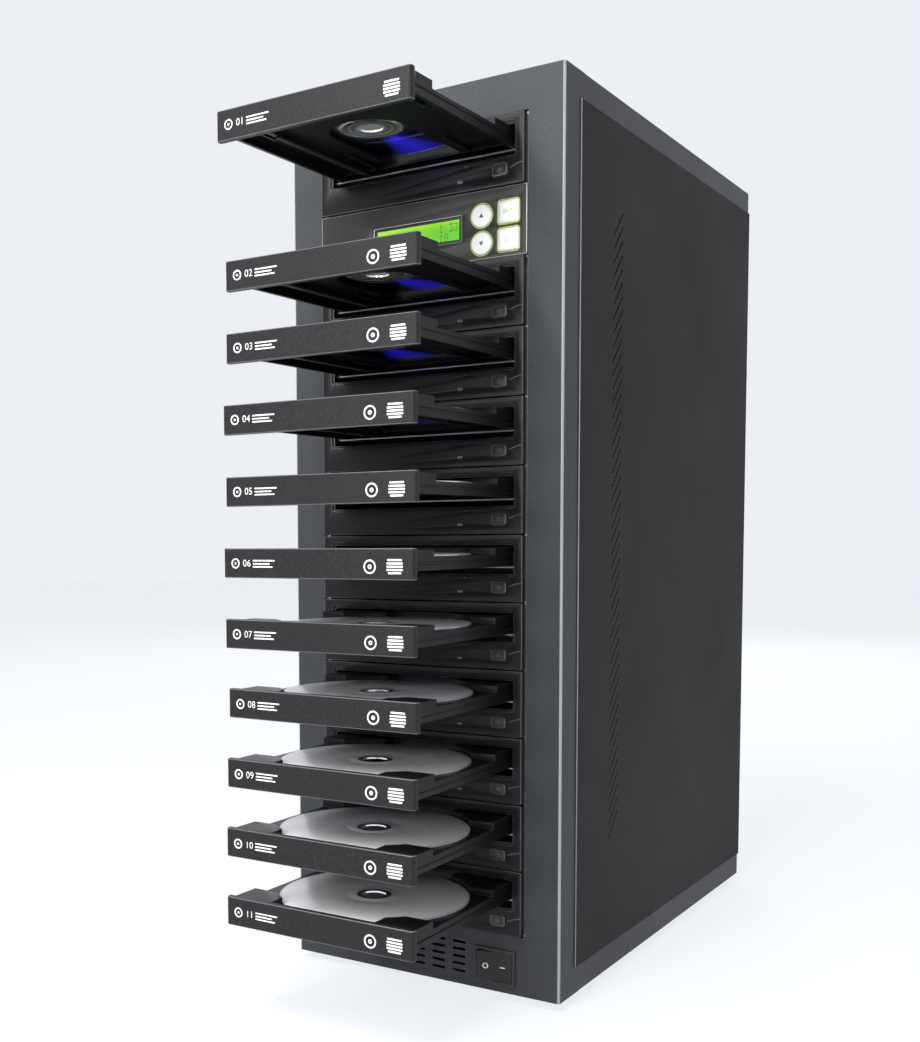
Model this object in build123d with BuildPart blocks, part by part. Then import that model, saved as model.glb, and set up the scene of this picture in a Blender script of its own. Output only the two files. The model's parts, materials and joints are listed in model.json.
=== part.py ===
from build123d import *
from math import cos, radians, sin, sqrt
import os

# Disc duplicator tower: a steel tower case with twelve bays, a controller in the second bay
# and a disc drive in each of the others, drawn with every tray out.
# Millimetres. +Z is up and the drives face -Y. The origin is under the middle of the object.

# ---------------------------------------------------------------- driving dimensions
# Case
case_width = 200.0
case_depth = 380.0
bay_count = 12
bay_pitch = 43.0
controller_bay = 1  # counted from the top, which is bay 0
lowest_bay = 39.0  # from the case's bottom to the lowest bay
head_margin = 25.0  # from the top bay to the case's top
sheet = 1.0
panel_sheet = 1.0  # the side panels stand this proud of the case
corner_radius = 2.0
front_strip = 23.0  # how much of the front panel shows beside a side panel
top_strip = 16.5
base_strip = 17.5
seat_overlap = 7.5  # the side panels lap the frame by this much
foot_height = 6.0
foot_size = 16.0
foot_inset = 26.0
foot_chamfer = 3.2
fit_gap = 0.3  # clearance between pieces that are only seated

# Bay window in the front panel
window_width = 152.4
window_margin = 0.8  # above the top bay and below the lowest
window_lip = 3.3

# Vents
slot_count = 45
slot_pitch = 9.09
slot_length = 24.0
slot_width = 1.9
slot_angle = 46.5
slot_column = 62.75  # from the front edge of the side panel to the column's middle
lowest_slot = 99.7  # from the case's bottom to the middle of the lowest slot
grille_columns = 4
grille_rows = 5
grille_column_pitch = 15.2
grille_row_pitch = 4.9
grille_slot = (9.6, 2.0)
grille_first_column = 28.6
grille_top_row = 28.4

# Drives
bezel_width = 148.5
bezel_gap = 1.0
bezel_proud = 3.0
bezel_depth = 6.0
drive_width = 146.0
drive_gap = 1.7  # a drive's case is this much lower than its bay
drive_depth = 165.0
drive_sheet = 1.0
step_margin = 1.6  # the stepped surround of the tray opening
step_depth = 1.2
step_top = 4.7  # below the bay's top
step_bottom = 26.6
step_corner = 1.8  # cut off each corner of the surround

# Tray door and tray
door_width = 133.0
door_height = 17.8
door_thickness = 4.5
door_drop = 7.0  # from the bay's top to the door's top
door_radius = 2.0
door_gap = 0.4
tray_offset = 1.0  # the trays sit this much right of the middle
tray_width = 129.0
tray_length = 157.0
tray_wall_drop = 1.0  # the walls' tops below the door's top
tray_floor = 2.6
skirt_depth = 5.0
skirt_width = 2.5
groove_height = 1.6
groove_depth = 0.8
dip_start = 27.0  # from the door's front to where the side walls dip beside the disc
dip_end = 104.0
thumb_notch_width = 74.0
rack_width = 4.0
rack_depth = 3.0
rack_offset = 44.0
spindle_window = 50.0
spindle_window_sides = 16
window_reach = 67.0  # the underside window runs this far behind the spindle

# How far each door stands out of the case's face, top drive first
door_reach = [128.0, 121.5, 122.0, 125.5, 124.0, 126.5, 126.0, 123.5, 126.0, 127.5, 128.0]

# Discs
disc_diameter = 120.0
disc_thickness = 1.2
disc_hole = 15.0
disc_sides = 40  # flats round each disc's rim, few because the object holds eleven discs
disc_hole_sides = 12
disc_clearance = 0.6
disc_setback = 66.4  # from the door's front to the spindle
disc_drop = 4.2  # from the door's top to the disc's top

# Eject button and light of each drive
eject_size = (10.2, 7.2)
eject_place = (58.5, 33.5)  # right of the middle, below the bay's top
eject_proud = 1.0
eject_travel = 1.0
eject_chamfer = 1.4
button_gap = 0.25
light_size = (3.2, 1.4)
light_place = (30.7, 36.5)
light_depth = 2.0

# Controller panel
panel_width = 151.4
panel_gap = 0.6  # the panel is this much lower than its bay
panel_offset = 0.1
panel_proud = 1.0
panel_thickness = 3.0
panel_bevel = 0.7
display_size = (64.5, 16.1)
display_place = (-1.6, 21.65)
display_recess = 1.0
display_module = (76.0, 30.0, 6.0)
key_diameter = 14.0
key_column = 45.0
key_rows = (15.9, 32.9)  # up and down, below the bay's top
square_key = 13.8
square_column = 63.4
square_rows = (15.6, 32.5)  # enter and escape
square_radius = 1.5
key_proud = 0.8
key_travel = 0.6
board_thickness = 1.6
board_width = 140.0
board_gap = 6.0  # the upright board is this much lower than its bay
switch_body = 6.0
main_board = (132.0, 120.0)
standoff_height = 5.0
standoff_size = 5.0
chip_size = 34.0
chip_place = (-20.0, 40.0)  # right of the middle, behind the board's front edge
sled_wall = 12.0

# Power switch
switch_place = (55.0, 16.7)  # right of the middle, above the case's bottom
switch_frame = (29.2, 23.6)
switch_frame_proud = 1.5
switch_body_size = (27.2, 21.2, 18.0)
rocker_size = (23.5, 19.0)
rocker_end = 4.2  # from the pivot to the face's ends
rocker_middle = 2.9  # from the pivot to the face's bend
rocker_back = 5.0
rocker_tilt = 7.0
pivot_depth = 1.6  # behind the case's face
pivot_diameter = 2.4
pivot_reach = 0.7  # the pivot stands this far out of each end of the rocker
pivot_clearance = 0.05

# Rear
lip_width = 12.0  # the side panels fold round the rear panel by this much
screw_head = (9.0, 6.0)
screw_sides = 8
screw_heights = (150.0, 430.0)
rear_flange = 20.0
supply_size = (150.0, 140.0, 86.0)
supply_window_margin = 4.0
supply_grille = 68.8
supply_grille_place = 25.8  # right of the middle
inlet_size = (28.0, 22.0, 16.0)
inlet_place = (-52.0, 30.0)
inlet_pocket = (24.0, 17.0, 13.0)
inlet_pin = (1.6, 4.0)
inlet_pin_pitch = 8.0
fan_size = 120.0
fan_depth = 25.0
fan_bore = 116.0
fan_height = 430.0
fan_grille = 110.0
fan_grille_pitch = 9.0
fan_grille_slot = 3.6
fan_hub = 38.0
fan_sides = 36  # flats round the fan's bore, which hides behind the rear grille
hub_sides = 21
fan_tip_gap = 1.5
fan_strut = 8.0
fan_mount = 26.6  # square plate that the struts carry
fan_plate = 3.0
blade_count = 7
blade_thickness = 1.8
blade_pitch_angle = 38.0
axle_diameter = 4.0
axle_clearance = 0.05
cage_depth = 168.0
loom_size = 9.0
plug_size = (24.0, 14.0, 8.0)

# ---------------------------------------------------------------- worked out
case_height = lowest_bay + bay_count * bay_pitch + head_margin
rear_reach = panel_sheet + screw_head[1]
face_y = (max(door_reach) - case_depth - rear_reach) / 2
rear_y = face_y + case_depth
bottom = foot_height
top = bottom + case_height
half_width = case_width / 2
drive_bays = [bay for bay in range(bay_count) if bay != controller_bay]
cage_plate = drive_width / 2 + fit_gap  # inner face of each cage plate
drive_height = bay_pitch - drive_gap
panel_height = bay_pitch - panel_gap
board_height = bay_pitch - board_gap
bezel_back = face_y - bezel_proud + bezel_depth
disc_radius = disc_diameter / 2 + disc_clearance
door_top = -door_drop
disc_seat = door_top - disc_drop - disc_thickness
tray_bottom = disc_seat - tray_floor
skirt_bottom = tray_bottom - skirt_depth
wall_top = door_top - tray_wall_drop


def bay_top(bay):
    """Height of a bay's top edge."""
    return bottom + lowest_bay + (bay_count - bay) * bay_pitch


def facing(y):
    """Upright sketch plane at depth y that looks out of the front: local x is X and local y is Z."""
    return Plane.XZ.offset(-y)


def write(part, name):
    """Label a finished piece and write it."""
    part.label = name
    export_step(part, f"parts/{name}.step")


def write_group(parts, name):
    """Write several separate pieces of one kind as one node."""
    group = Compound(label=name, children=list(parts))
    export_step(group, f"parts/{name}.step")


os.makedirs("parts", exist_ok=True)
middle_z = bottom + case_height / 2
window_low = bottom + lowest_bay - window_margin
window_high = bay_top(0) + window_margin
window_height = window_high - window_low
window_z = (window_low + window_high) / 2
switch_x = switch_place[0]
switch_z = bottom + switch_place[1]

# ---------------------------------------------------------------- case
front_return = front_strip + seat_overlap
with BuildPart() as front_panel:
    with BuildSketch(facing(face_y + front_return)):
        with Locations((0, middle_z)):
            Rectangle(case_width, case_height)
    extrude(amount=front_return)
    fillet(front_panel.edges().filter_by(Axis.Z).group_by(Axis.Y)[0], corner_radius)
    offset(amount=-sheet, openings=front_panel.faces().sort_by(Axis.Y)[-1])
    with BuildSketch(facing(face_y + window_lip)):
        with Locations((0, window_z)):
            Rectangle(window_width + 2 * sheet, window_height + 2 * sheet)
    extrude(amount=window_lip)
    with BuildSketch(facing(face_y + window_lip)):
        with Locations((0, window_z)):
            Rectangle(window_width, window_height)
        with Locations((switch_x, switch_z)):
            Rectangle(switch_body_size[0] + 2 * fit_gap, switch_body_size[1] + 2 * fit_gap)
        grille_left = grille_first_column - (grille_columns - 1) * grille_column_pitch
        for column in range(grille_columns):
            for row in range(grille_rows):
                with Locations((grille_left + column * grille_column_pitch,
                                bottom + grille_top_row - row * grille_row_pitch)):
                    Rectangle(*grille_slot)
    extrude(amount=window_lip, mode=Mode.SUBTRACT)
write(front_panel.part, "front_panel")

cover_length = case_depth - front_return - sheet


def channel(height, flange, upward):
    """U-shaped cover over the case's whole width, behind the front panel, with its side flanges."""
    side = 1 if upward else -1
    with BuildPart() as cover:
        with BuildSketch(facing(rear_y - sheet)):
            with Locations((0, height + side * flange / 2)):
                Rectangle(case_width, flange)
            with Locations((0, height + side * (flange / 2 + sheet))):
                Rectangle(case_width - 2 * sheet, flange, mode=Mode.SUBTRACT)
        extrude(amount=cover_length)
    return cover.part


write(channel(top, top_strip + seat_overlap, False), "top_cover")
write(channel(bottom, base_strip + seat_overlap, True), "base_pan")

panel_low = bottom + base_strip
panel_high = top - top_strip
panel_front = face_y + front_strip


def side_panel(side):
    """Flat side panel with its column of slanted vent slots and the lip that folds round the rear."""
    outside = side * (half_width + panel_sheet)
    with BuildPart() as panel:
        with BuildSketch(Plane.XY.offset(panel_low)):
            with BuildLine():
                Polyline(
                    (side * half_width, panel_front),
                    (outside, panel_front),
                    (outside, rear_y + panel_sheet),
                    (outside - side * lip_width, rear_y + panel_sheet),
                    (outside - side * lip_width, rear_y),
                    (side * half_width, rear_y),
                    close=True,
                )
            make_face()
        extrude(amount=panel_high - panel_low)
        with BuildSketch(Plane.YZ.offset(side * half_width - panel_sheet)):
            for slot in range(slot_count):
                with Locations((panel_front + slot_column, bottom + lowest_slot + slot * slot_pitch)):
                    Rectangle(slot_length, slot_width, rotation=slot_angle)
        extrude(amount=3 * panel_sheet, both=True, mode=Mode.SUBTRACT)
    return panel.part


write(side_panel(-1), "left_side_panel")
write(side_panel(1), "right_side_panel")

supply_x, supply_y, supply_z = supply_size
supply_low = bottom + sheet
supply_window = (supply_x - 2 * supply_window_margin, supply_z - 2 * supply_window_margin)
supply_mid_z = supply_low + supply_z / 2
fan_z = bottom + fan_height
flange_low = bottom + base_strip + seat_overlap + fit_gap
flange_high = top - top_strip - seat_overlap - fit_gap


def grille_slots(diameter, pitch, height):
    """Lengths of the level slots that fill a round grille, each with its offset from the middle."""
    count = int(diameter / 2 / pitch)
    offsets = [step * pitch for step in range(-count, count + 1)]
    spans = [(at, 2 * sqrt((diameter / 2) ** 2 - (abs(at) + height / 2) ** 2))
             for at in offsets if abs(at) + height / 2 < diameter / 2]
    return spans


with BuildPart() as rear_panel:
    with BuildSketch(facing(rear_y)):
        with Locations((0, middle_z)):
            Rectangle(case_width, case_height)
    extrude(amount=sheet)
    with BuildSketch(facing(rear_y - sheet)):
        with Locations((0, (flange_low + flange_high) / 2)):
            Rectangle(case_width, flange_high - flange_low)
            Rectangle(case_width - 2 * sheet, flange_high - flange_low, mode=Mode.SUBTRACT)
    extrude(amount=rear_flange)
    with BuildSketch(facing(rear_y)):
        with Locations((0, supply_mid_z)):
            Rectangle(*supply_window)
        for drop, span in grille_slots(fan_grille, fan_grille_pitch, fan_grille_slot):
            with Locations((0, fan_z + drop)):
                Rectangle(span, fan_grille_slot)
    extrude(amount=sheet, mode=Mode.SUBTRACT)
write(rear_panel.part, "rear_panel")

# Cage: two upright plates from base to top, each with a flange against the window's lip
cage_front = face_y + window_lip
cage_flange = window_width / 2 + sheet - cage_plate
cage_low = bottom + sheet
cage_high = top - sheet


def cage_side(side):
    """One upright plate of the drive cage."""
    with BuildPart() as plate:
        with BuildSketch(Plane.XY.offset(cage_low)):
            with BuildLine():
                Polyline(
                    (side * cage_plate, cage_front),
                    (side * (cage_plate + cage_flange), cage_front),
                    (side * (cage_plate + cage_flange), cage_front + sheet),
                    (side * (cage_plate + sheet), cage_front + sheet),
                    (side * (cage_plate + sheet), cage_front + cage_depth),
                    (side * cage_plate, cage_front + cage_depth),
                    close=True,
                )
            make_face()
        extrude(amount=cage_high - cage_low)
    return plate.part


write_group([cage_side(-1), cage_side(1)], "drive_cage")

foot_x = half_width - foot_inset
with BuildPart() as foot:
    with BuildSketch(Plane.XY):
        Rectangle(foot_size, foot_size)
    extrude(amount=foot_height)
    chamfer(foot.edges().filter_by(Axis.Z), foot_chamfer)
foot_places = [(x, y) for x in (-foot_x, foot_x) for y in (face_y + foot_inset, rear_y - foot_inset)]
write_group([foot.part.moved(Location((x, y, 0))) for x, y in foot_places], "feet")

screw_x = half_width + panel_sheet - lip_width / 2
with BuildPart() as screw:
    with BuildSketch(facing(rear_y + rear_reach)):
        RegularPolygon(screw_head[0] / 2, screw_sides)
    extrude(amount=screw_head[1])
screw_places = [(x, bottom + z) for x in (-screw_x, screw_x) for z in screw_heights]
write_group([screw.part.moved(Location((x, 0, z))) for x, z in screw_places], "thumbscrews")

# ---------------------------------------------------------------- disc drives
# Each drive is drawn for a bay whose top edge is at height 0, and moved up to its own bay.
opening_width = door_width + 2 * door_gap
opening_high = door_top + door_gap
opening_low = door_top - door_height - door_gap
eject_x, eject_drop = eject_place

with BuildPart() as bezel:
    with BuildSketch(facing(bezel_back)):
        with Locations((0, -bay_pitch / 2)):
            Rectangle(bezel_width, bay_pitch - bezel_gap)
        with Locations((tray_offset, (opening_high + opening_low) / 2)):
            Rectangle(opening_width, opening_high - opening_low, mode=Mode.SUBTRACT)
        with Locations((eject_x, -eject_drop)):
            Rectangle(eject_size[0] + 2 * button_gap, eject_size[1] + 2 * button_gap,
                      mode=Mode.SUBTRACT)
    extrude(amount=bezel_depth)
    with BuildSketch(facing(face_y - bezel_proud + step_depth)) as step:
        with Locations((tray_offset, -(step_top + step_bottom) / 2)):
            Rectangle(opening_width + 2 * step_margin, step_bottom - step_top)
        chamfer(step.vertices(), step_corner)
    extrude(amount=step_depth, mode=Mode.SUBTRACT)
    with BuildSketch(facing(face_y - bezel_proud + light_depth)):
        with Locations((light_place[0], -light_place[1])):
            Rectangle(*light_size)
    extrude(amount=light_depth, mode=Mode.SUBTRACT)

with BuildPart() as light:
    with BuildSketch(facing(face_y - bezel_proud + light_depth)):
        with Locations((light_place[0], -light_place[1])):
            Rectangle(*light_size)
    extrude(amount=light_depth)

deck_top = skirt_bottom - fit_gap
with BuildPart() as drive_case:
    with BuildSketch(facing(bezel_back + drive_depth)):
        with Locations((0, -bay_pitch / 2)):
            Rectangle(drive_width, drive_height)
    extrude(amount=drive_depth)
    with BuildSketch(facing(bezel_back + drive_depth - drive_sheet)):
        with Locations((0, -bay_pitch / 2)):
            Rectangle(drive_width - 2 * drive_sheet, drive_height - 2 * drive_sheet)
        with Locations((0, deck_top - drive_sheet / 2)):
            Rectangle(drive_width, drive_sheet, mode=Mode.SUBTRACT)
    extrude(amount=drive_depth - drive_sheet, mode=Mode.SUBTRACT)

# Eject button: a plug that runs through the bezel
button_back = bezel_back - eject_travel - fit_gap
with BuildPart() as eject_button:
    with BuildSketch(facing(button_back)):
        with Locations((eject_x, -eject_drop)):
            Rectangle(*eject_size)
    extrude(amount=button_back - face_y + bezel_proud + eject_proud)
    chamfer(eject_button.edges().filter_by(Axis.Y), eject_chamfer)

# Tray moulding and its door, with the door's front at depth 0 and the bay's top at height 0
moulding_back = door_thickness + tray_length
moulding_mid = door_thickness + tray_length / 2
with BuildPart() as moulding:
    with BuildSketch(Plane.XY.offset(tray_bottom)):
        with Locations((tray_offset, moulding_mid)):
            Rectangle(tray_width, tray_length)
    extrude(amount=wall_top - tray_bottom)
    # Recess for the disc, open behind the door and low beside the disc
    with BuildSketch(Plane.XY.offset(disc_seat)):
        with Locations((tray_offset, disc_setback)):
            RegularPolygon(disc_radius, disc_sides, major_radius=False)
        with Locations((tray_offset, (dip_start + dip_end) / 2)):
            Rectangle(tray_width, dip_end - dip_start)
        with Locations((tray_offset, door_thickness + (dip_start - door_thickness) / 2)):
            Rectangle(thumb_notch_width, dip_start - door_thickness)
    extrude(amount=wall_top - disc_seat, mode=Mode.SUBTRACT)
    # Window under the disc for the spindle and the laser sled
    with BuildSketch(Plane.XY.offset(tray_bottom)):
        with Locations((tray_offset, disc_setback)):
            RegularPolygon(spindle_window / 2, spindle_window_sides)
        with Locations((tray_offset, disc_setback + window_reach / 2)):
            Rectangle(spindle_window, window_reach)
    extrude(amount=wall_top - tray_bottom, mode=Mode.SUBTRACT)
    # Skirts along both sides and across the front, and the rack's bar
    with BuildSketch(Plane.XY.offset(skirt_bottom)):
        for side in (-1, 1):
            with Locations((tray_offset + side * (tray_width - skirt_width) / 2, moulding_mid)):
                Rectangle(skirt_width, tray_length)
        with Locations((tray_offset, door_thickness + skirt_width / 2)):
            Rectangle(tray_width, skirt_width)
    extrude(amount=skirt_depth)
    with BuildSketch(Plane.XY.offset(tray_bottom - rack_depth)):
        with Locations((tray_offset - rack_offset, moulding_mid)):
            Rectangle(rack_width, tray_length)
    extrude(amount=rack_depth)
    # Guide groove along the outside of each wall
    for side in (-1, 1):
        with BuildSketch(facing(moulding_back)):
            with Locations((tray_offset + side * (tray_width - groove_depth) / 2,
                            tray_bottom - groove_height / 2)):
                Rectangle(groove_depth, groove_height)
        extrude(amount=tray_length, mode=Mode.SUBTRACT)

with BuildPart() as door:
    with BuildSketch(facing(door_thickness)):
        with Locations((tray_offset, door_top - door_height / 2)):
            Rectangle(door_width, door_height)
    extrude(amount=door_thickness)
    fillet(door.edges().filter_by(Axis.Z).group_by(Axis.Y)[0], door_radius)

with BuildPart() as disc:
    with BuildSketch(Plane.XY.offset(disc_seat)):
        with Locations((tray_offset, disc_setback)):
            RegularPolygon(disc_diameter / 2, disc_sides)
            RegularPolygon(disc_hole / 2, disc_hole_sides, mode=Mode.SUBTRACT)
    extrude(amount=disc_thickness)

for number, bay in enumerate(drive_bays, start=1):
    front = face_y - door_reach[number - 1]
    in_tray = Location((0, front, bay_top(bay)))
    write_group([moulding.part.moved(in_tray), door.part.moved(in_tray)], f"tray_{number:02d}")
    write(disc.part.moved(in_tray), f"disc_{number:02d}")
    write(eject_button.part.moved(Location((0, 0, bay_top(bay)))), f"eject_button_{number:02d}")

in_bays = [Location((0, 0, bay_top(bay))) for bay in drive_bays]
write_group([bezel.part.moved(place) for place in in_bays], "drive_bezels")
write_group([light.part.moved(place) for place in in_bays], "drive_lights")
write_group([drive_case.part.moved(place) for place in in_bays], "drive_cases")

# ---------------------------------------------------------------- controller
control_top = bay_top(controller_bay)
control_mid = control_top - bay_pitch / 2
panel_back = face_y - panel_proud + panel_thickness
display_x = display_place[0]
display_z = control_top - display_place[1]

with BuildPart() as controller_panel:
    with BuildSketch(facing(panel_back)):
        with Locations((panel_offset, control_mid)):
            Rectangle(panel_width, panel_height)
    extrude(amount=panel_thickness)
    chamfer(controller_panel.faces().sort_by(Axis.Y)[0].edges(), panel_bevel)
    with BuildSketch(facing(panel_back)):
        with Locations((display_x, display_z)):
            Rectangle(*display_size)
        for drop in key_rows:
            with Locations((key_column, control_top - drop)):
                Circle(key_diameter / 2 + button_gap)
        for drop in square_rows:
            with Locations((square_column, control_top - drop)):
                Rectangle(square_key + 2 * button_gap, square_key + 2 * button_gap)
    extrude(amount=panel_thickness, mode=Mode.SUBTRACT)
write(controller_panel.part, "controller_panel")

board_front = panel_back + display_module[2]
with BuildPart() as lcd_display:
    with BuildSketch(facing(board_front)):
        with Locations((display_x, display_z)):
            Rectangle(display_module[0], display_module[1])
    extrude(amount=display_module[2])
    with BuildSketch(facing(panel_back)):
        with Locations((display_x, display_z)):
            Rectangle(display_size[0] - 2 * fit_gap, display_size[1] - 2 * fit_gap)
    extrude(amount=panel_thickness - display_recess)
write(lcd_display.part, "lcd_display")

key_front = face_y - panel_proud - key_proud
for name, drop in zip(("up_button", "down_button"), key_rows):
    with BuildPart() as key:
        with BuildSketch(facing(panel_back)):
            with Locations((key_column, control_top - drop)):
                Circle(key_diameter / 2)
        extrude(amount=panel_back - key_front)
    write(key.part, name)
for name, drop in zip(("enter_button", "escape_button"), square_rows):
    with BuildPart() as key:
        with BuildSketch(facing(panel_back)):
            with Locations((square_column, control_top - drop)):
                Rectangle(square_key, square_key)
        extrude(amount=panel_back - key_front)
        chamfer(key.edges().filter_by(Axis.Y), square_radius)
    write(key.part, name)

# Sled that fills the bay behind the panel, with the boards on it
sled_floor = control_top - bay_pitch + bezel_gap / 2
sled_front = board_front + board_thickness
with BuildPart() as controller_sled:
    with BuildSketch(facing(bezel_back + drive_depth)):
        with Locations((0, sled_floor + sled_wall / 2)):
            Rectangle(drive_width, sled_wall)
        with Locations((0, sled_floor + sheet + sled_wall / 2)):
            Rectangle(drive_width - 2 * sheet, sled_wall, mode=Mode.SUBTRACT)
    extrude(amount=bezel_back + drive_depth - panel_back)
    for x in (-1, 1):
        for y in (-1, 1):
            with BuildSketch(Plane.XY.offset(sled_floor + sheet)):
                with Locations((x * (main_board[0] / 2 - standoff_size),
                                sled_front + fit_gap + main_board[1] / 2
                                + y * (main_board[1] / 2 - standoff_size))):
                    Rectangle(standoff_size, standoff_size)
            extrude(amount=standoff_height)
write(controller_sled.part, "controller_sled")

main_board_low = sled_floor + sheet + standoff_height
board_low = sled_floor + sheet
with BuildPart() as display_board:
    with BuildSketch(facing(sled_front)):
        with Locations((0, board_low + board_height / 2)):
            Rectangle(board_width, board_height)
    extrude(amount=board_thickness)
    switch_depth = display_module[2] - key_travel - fit_gap
    with BuildSketch(facing(board_front)):
        for x, drops in ((key_column, key_rows), (square_column, square_rows)):
            for drop in drops:
                with Locations((x, control_top - drop)):
                    Rectangle(switch_body, switch_body)
    extrude(amount=switch_depth)
with BuildPart() as drive_board:
    with BuildSketch(Plane.XY.offset(main_board_low)):
        with Locations((0, sled_front + fit_gap + main_board[1] / 2)):
            Rectangle(*main_board)
    extrude(amount=board_thickness)
    with BuildSketch(Plane.XY.offset(main_board_low + board_thickness)):
        with Locations((chip_place[0], sled_front + fit_gap + chip_place[1])):
            Rectangle(chip_size, chip_size)
        with Locations((0, sled_front + fit_gap + main_board[1] - plug_size[1])):
            Rectangle(main_board[0] - 4 * standoff_size, plug_size[1])
    extrude(amount=plug_size[2])
write_group([display_board.part, drive_board.part], "circuit_boards")

# ---------------------------------------------------------------- power switch
rocker_swing = sqrt((rocker_size[0] / 2) ** 2 + rocker_end ** 2)
pivot_half = rocker_size[1] / 2 + pivot_reach
with BuildPart() as power_switch_housing:
    with BuildSketch(facing(face_y)):
        with Locations((switch_x, switch_z)):
            Rectangle(*switch_frame)
    extrude(amount=switch_frame_proud)
    with BuildSketch(facing(face_y + switch_body_size[2])):
        with Locations((switch_x, switch_z)):
            Rectangle(switch_body_size[0], switch_body_size[1])
    extrude(amount=switch_body_size[2])
    with BuildSketch(facing(face_y + pivot_depth + rocker_swing)):
        with Locations((switch_x, switch_z)):
            Rectangle(2 * (rocker_swing + button_gap), rocker_size[1] + 2 * button_gap)
    extrude(amount=pivot_depth + rocker_swing + switch_frame_proud, mode=Mode.SUBTRACT)
    with BuildSketch(Plane.XY.offset(switch_z - pivot_half - pivot_clearance)):
        with Locations((switch_x, face_y + pivot_depth)):
            Circle(pivot_diameter / 2 + pivot_clearance)
    extrude(amount=2 * (pivot_half + pivot_clearance), mode=Mode.SUBTRACT)
write(power_switch_housing.part, "power_switch_housing")

half_rocker = rocker_size[0] / 2
rocker_axis = Plane(
    origin=(switch_x, face_y + pivot_depth, switch_z - rocker_size[1] / 2),
    x_dir=(cos(radians(rocker_tilt)), sin(radians(rocker_tilt)), 0),
    z_dir=(0, 0, 1),
)
with BuildPart() as power_rocker:
    with BuildSketch(rocker_axis):
        with BuildLine():
            Polyline(
                (-half_rocker, -rocker_end),
                (0, -rocker_middle),
                (half_rocker, -rocker_end),
                (half_rocker, 0),
                (half_rocker / 2, rocker_back),
                (-half_rocker / 2, rocker_back),
                (-half_rocker, 0),
                close=True,
            )
        make_face()
    extrude(amount=rocker_size[1])
    with BuildSketch(Plane.XY.offset(switch_z - pivot_half)):
        with Locations((switch_x, face_y + pivot_depth)):
            Circle(pivot_diameter / 2)
    extrude(amount=2 * pivot_half)
write(power_rocker.part, "power_rocker")

# ---------------------------------------------------------------- rear: supply and fan
supply_back = rear_y - sheet
inlet_x = inlet_place[0]
inlet_z = supply_low + inlet_place[1]
with BuildPart() as power_supply:
    with BuildSketch(facing(supply_back)):
        with Locations((0, supply_mid_z)):
            Rectangle(supply_x, supply_z)
    extrude(amount=supply_y)
    offset(amount=-sheet, openings=power_supply.faces().sort_by(Axis.Y)[0])
    with BuildSketch(facing(supply_back)):
        with Locations((inlet_x, inlet_z)):
            Rectangle(inlet_size[0], inlet_size[1])
        for drop, span in grille_slots(supply_grille, fan_grille_pitch, fan_grille_slot):
            with Locations((supply_grille_place, supply_mid_z + drop)):
                Rectangle(span, fan_grille_slot)
    extrude(amount=sheet, mode=Mode.SUBTRACT)
write(power_supply.part, "power_supply")

with BuildPart() as power_inlet:
    with BuildSketch(facing(rear_y)):
        with Locations((inlet_x, inlet_z)):
            Rectangle(inlet_size[0], inlet_size[1])
    extrude(amount=inlet_size[2])
    with BuildSketch(facing(rear_y)):
        with Locations((inlet_x, inlet_z)):
            Rectangle(inlet_pocket[0], inlet_pocket[1])
            with GridLocations(inlet_pin_pitch, 1, 3, 1):
                Rectangle(*inlet_pin, mode=Mode.SUBTRACT)
    extrude(amount=inlet_pocket[2], mode=Mode.SUBTRACT)
write(power_inlet.part, "power_inlet")

fan_back = rear_y - sheet
fan_front = fan_back - fan_depth
hub_back = fan_back - fan_plate
with BuildPart() as fan_frame:
    with BuildSketch(facing(fan_back)):
        with Locations((0, fan_z)):
            Rectangle(fan_size, fan_size)
            RegularPolygon(fan_bore / 2, fan_sides, mode=Mode.SUBTRACT)
    extrude(amount=fan_depth)
    with BuildSketch(facing(fan_front + fan_plate)):
        with Locations((0, fan_z)):
            Rectangle(fan_bore + 2 * fan_tip_gap, fan_strut)
            Rectangle(fan_strut, fan_bore + 2 * fan_tip_gap)
            Rectangle(fan_mount, fan_mount)
    extrude(amount=fan_plate)
    with BuildSketch(facing(hub_back - fit_gap)):
        with Locations((0, fan_z)):
            Circle(axle_diameter / 2)
    extrude(amount=hub_back - fit_gap - fan_front - fan_plate)
write(fan_frame.part, "fan_frame")

rotor_front = fan_front + fan_plate + fit_gap
blade_reach = fan_bore / 2 - fan_tip_gap
blade_depth = hub_back - rotor_front
blade_width = (blade_depth - 2 * blade_thickness) / sin(radians(blade_pitch_angle))
blade_half = (blade_width * cos(radians(blade_pitch_angle)) + blade_thickness) / 2
blade_span = sqrt(blade_reach**2 - blade_half**2)
with BuildPart() as fan_rotor:
    with BuildSketch(facing(hub_back)):
        with Locations((0, fan_z)):
            RegularPolygon(fan_hub / 2, hub_sides)
    extrude(amount=blade_depth)
    for blade in range(blade_count):
        turn = radians(360 / blade_count * blade)
        with BuildSketch(Plane(origin=(0, (rotor_front + hub_back) / 2, fan_z),
                               x_dir=(cos(turn) * cos(radians(blade_pitch_angle)),
                                      sin(radians(blade_pitch_angle)),
                                      -sin(turn) * cos(radians(blade_pitch_angle))),
                               z_dir=(sin(turn), 0, cos(turn)))):
            Rectangle(blade_width, blade_thickness)
        extrude(amount=blade_span)
    with BuildSketch(facing(hub_back)):
        with Locations((0, fan_z)):
            Circle(axle_diameter / 2 + axle_clearance)
    extrude(amount=blade_depth, mode=Mode.SUBTRACT)
write(fan_rotor.part, "fan_rotor")

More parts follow.
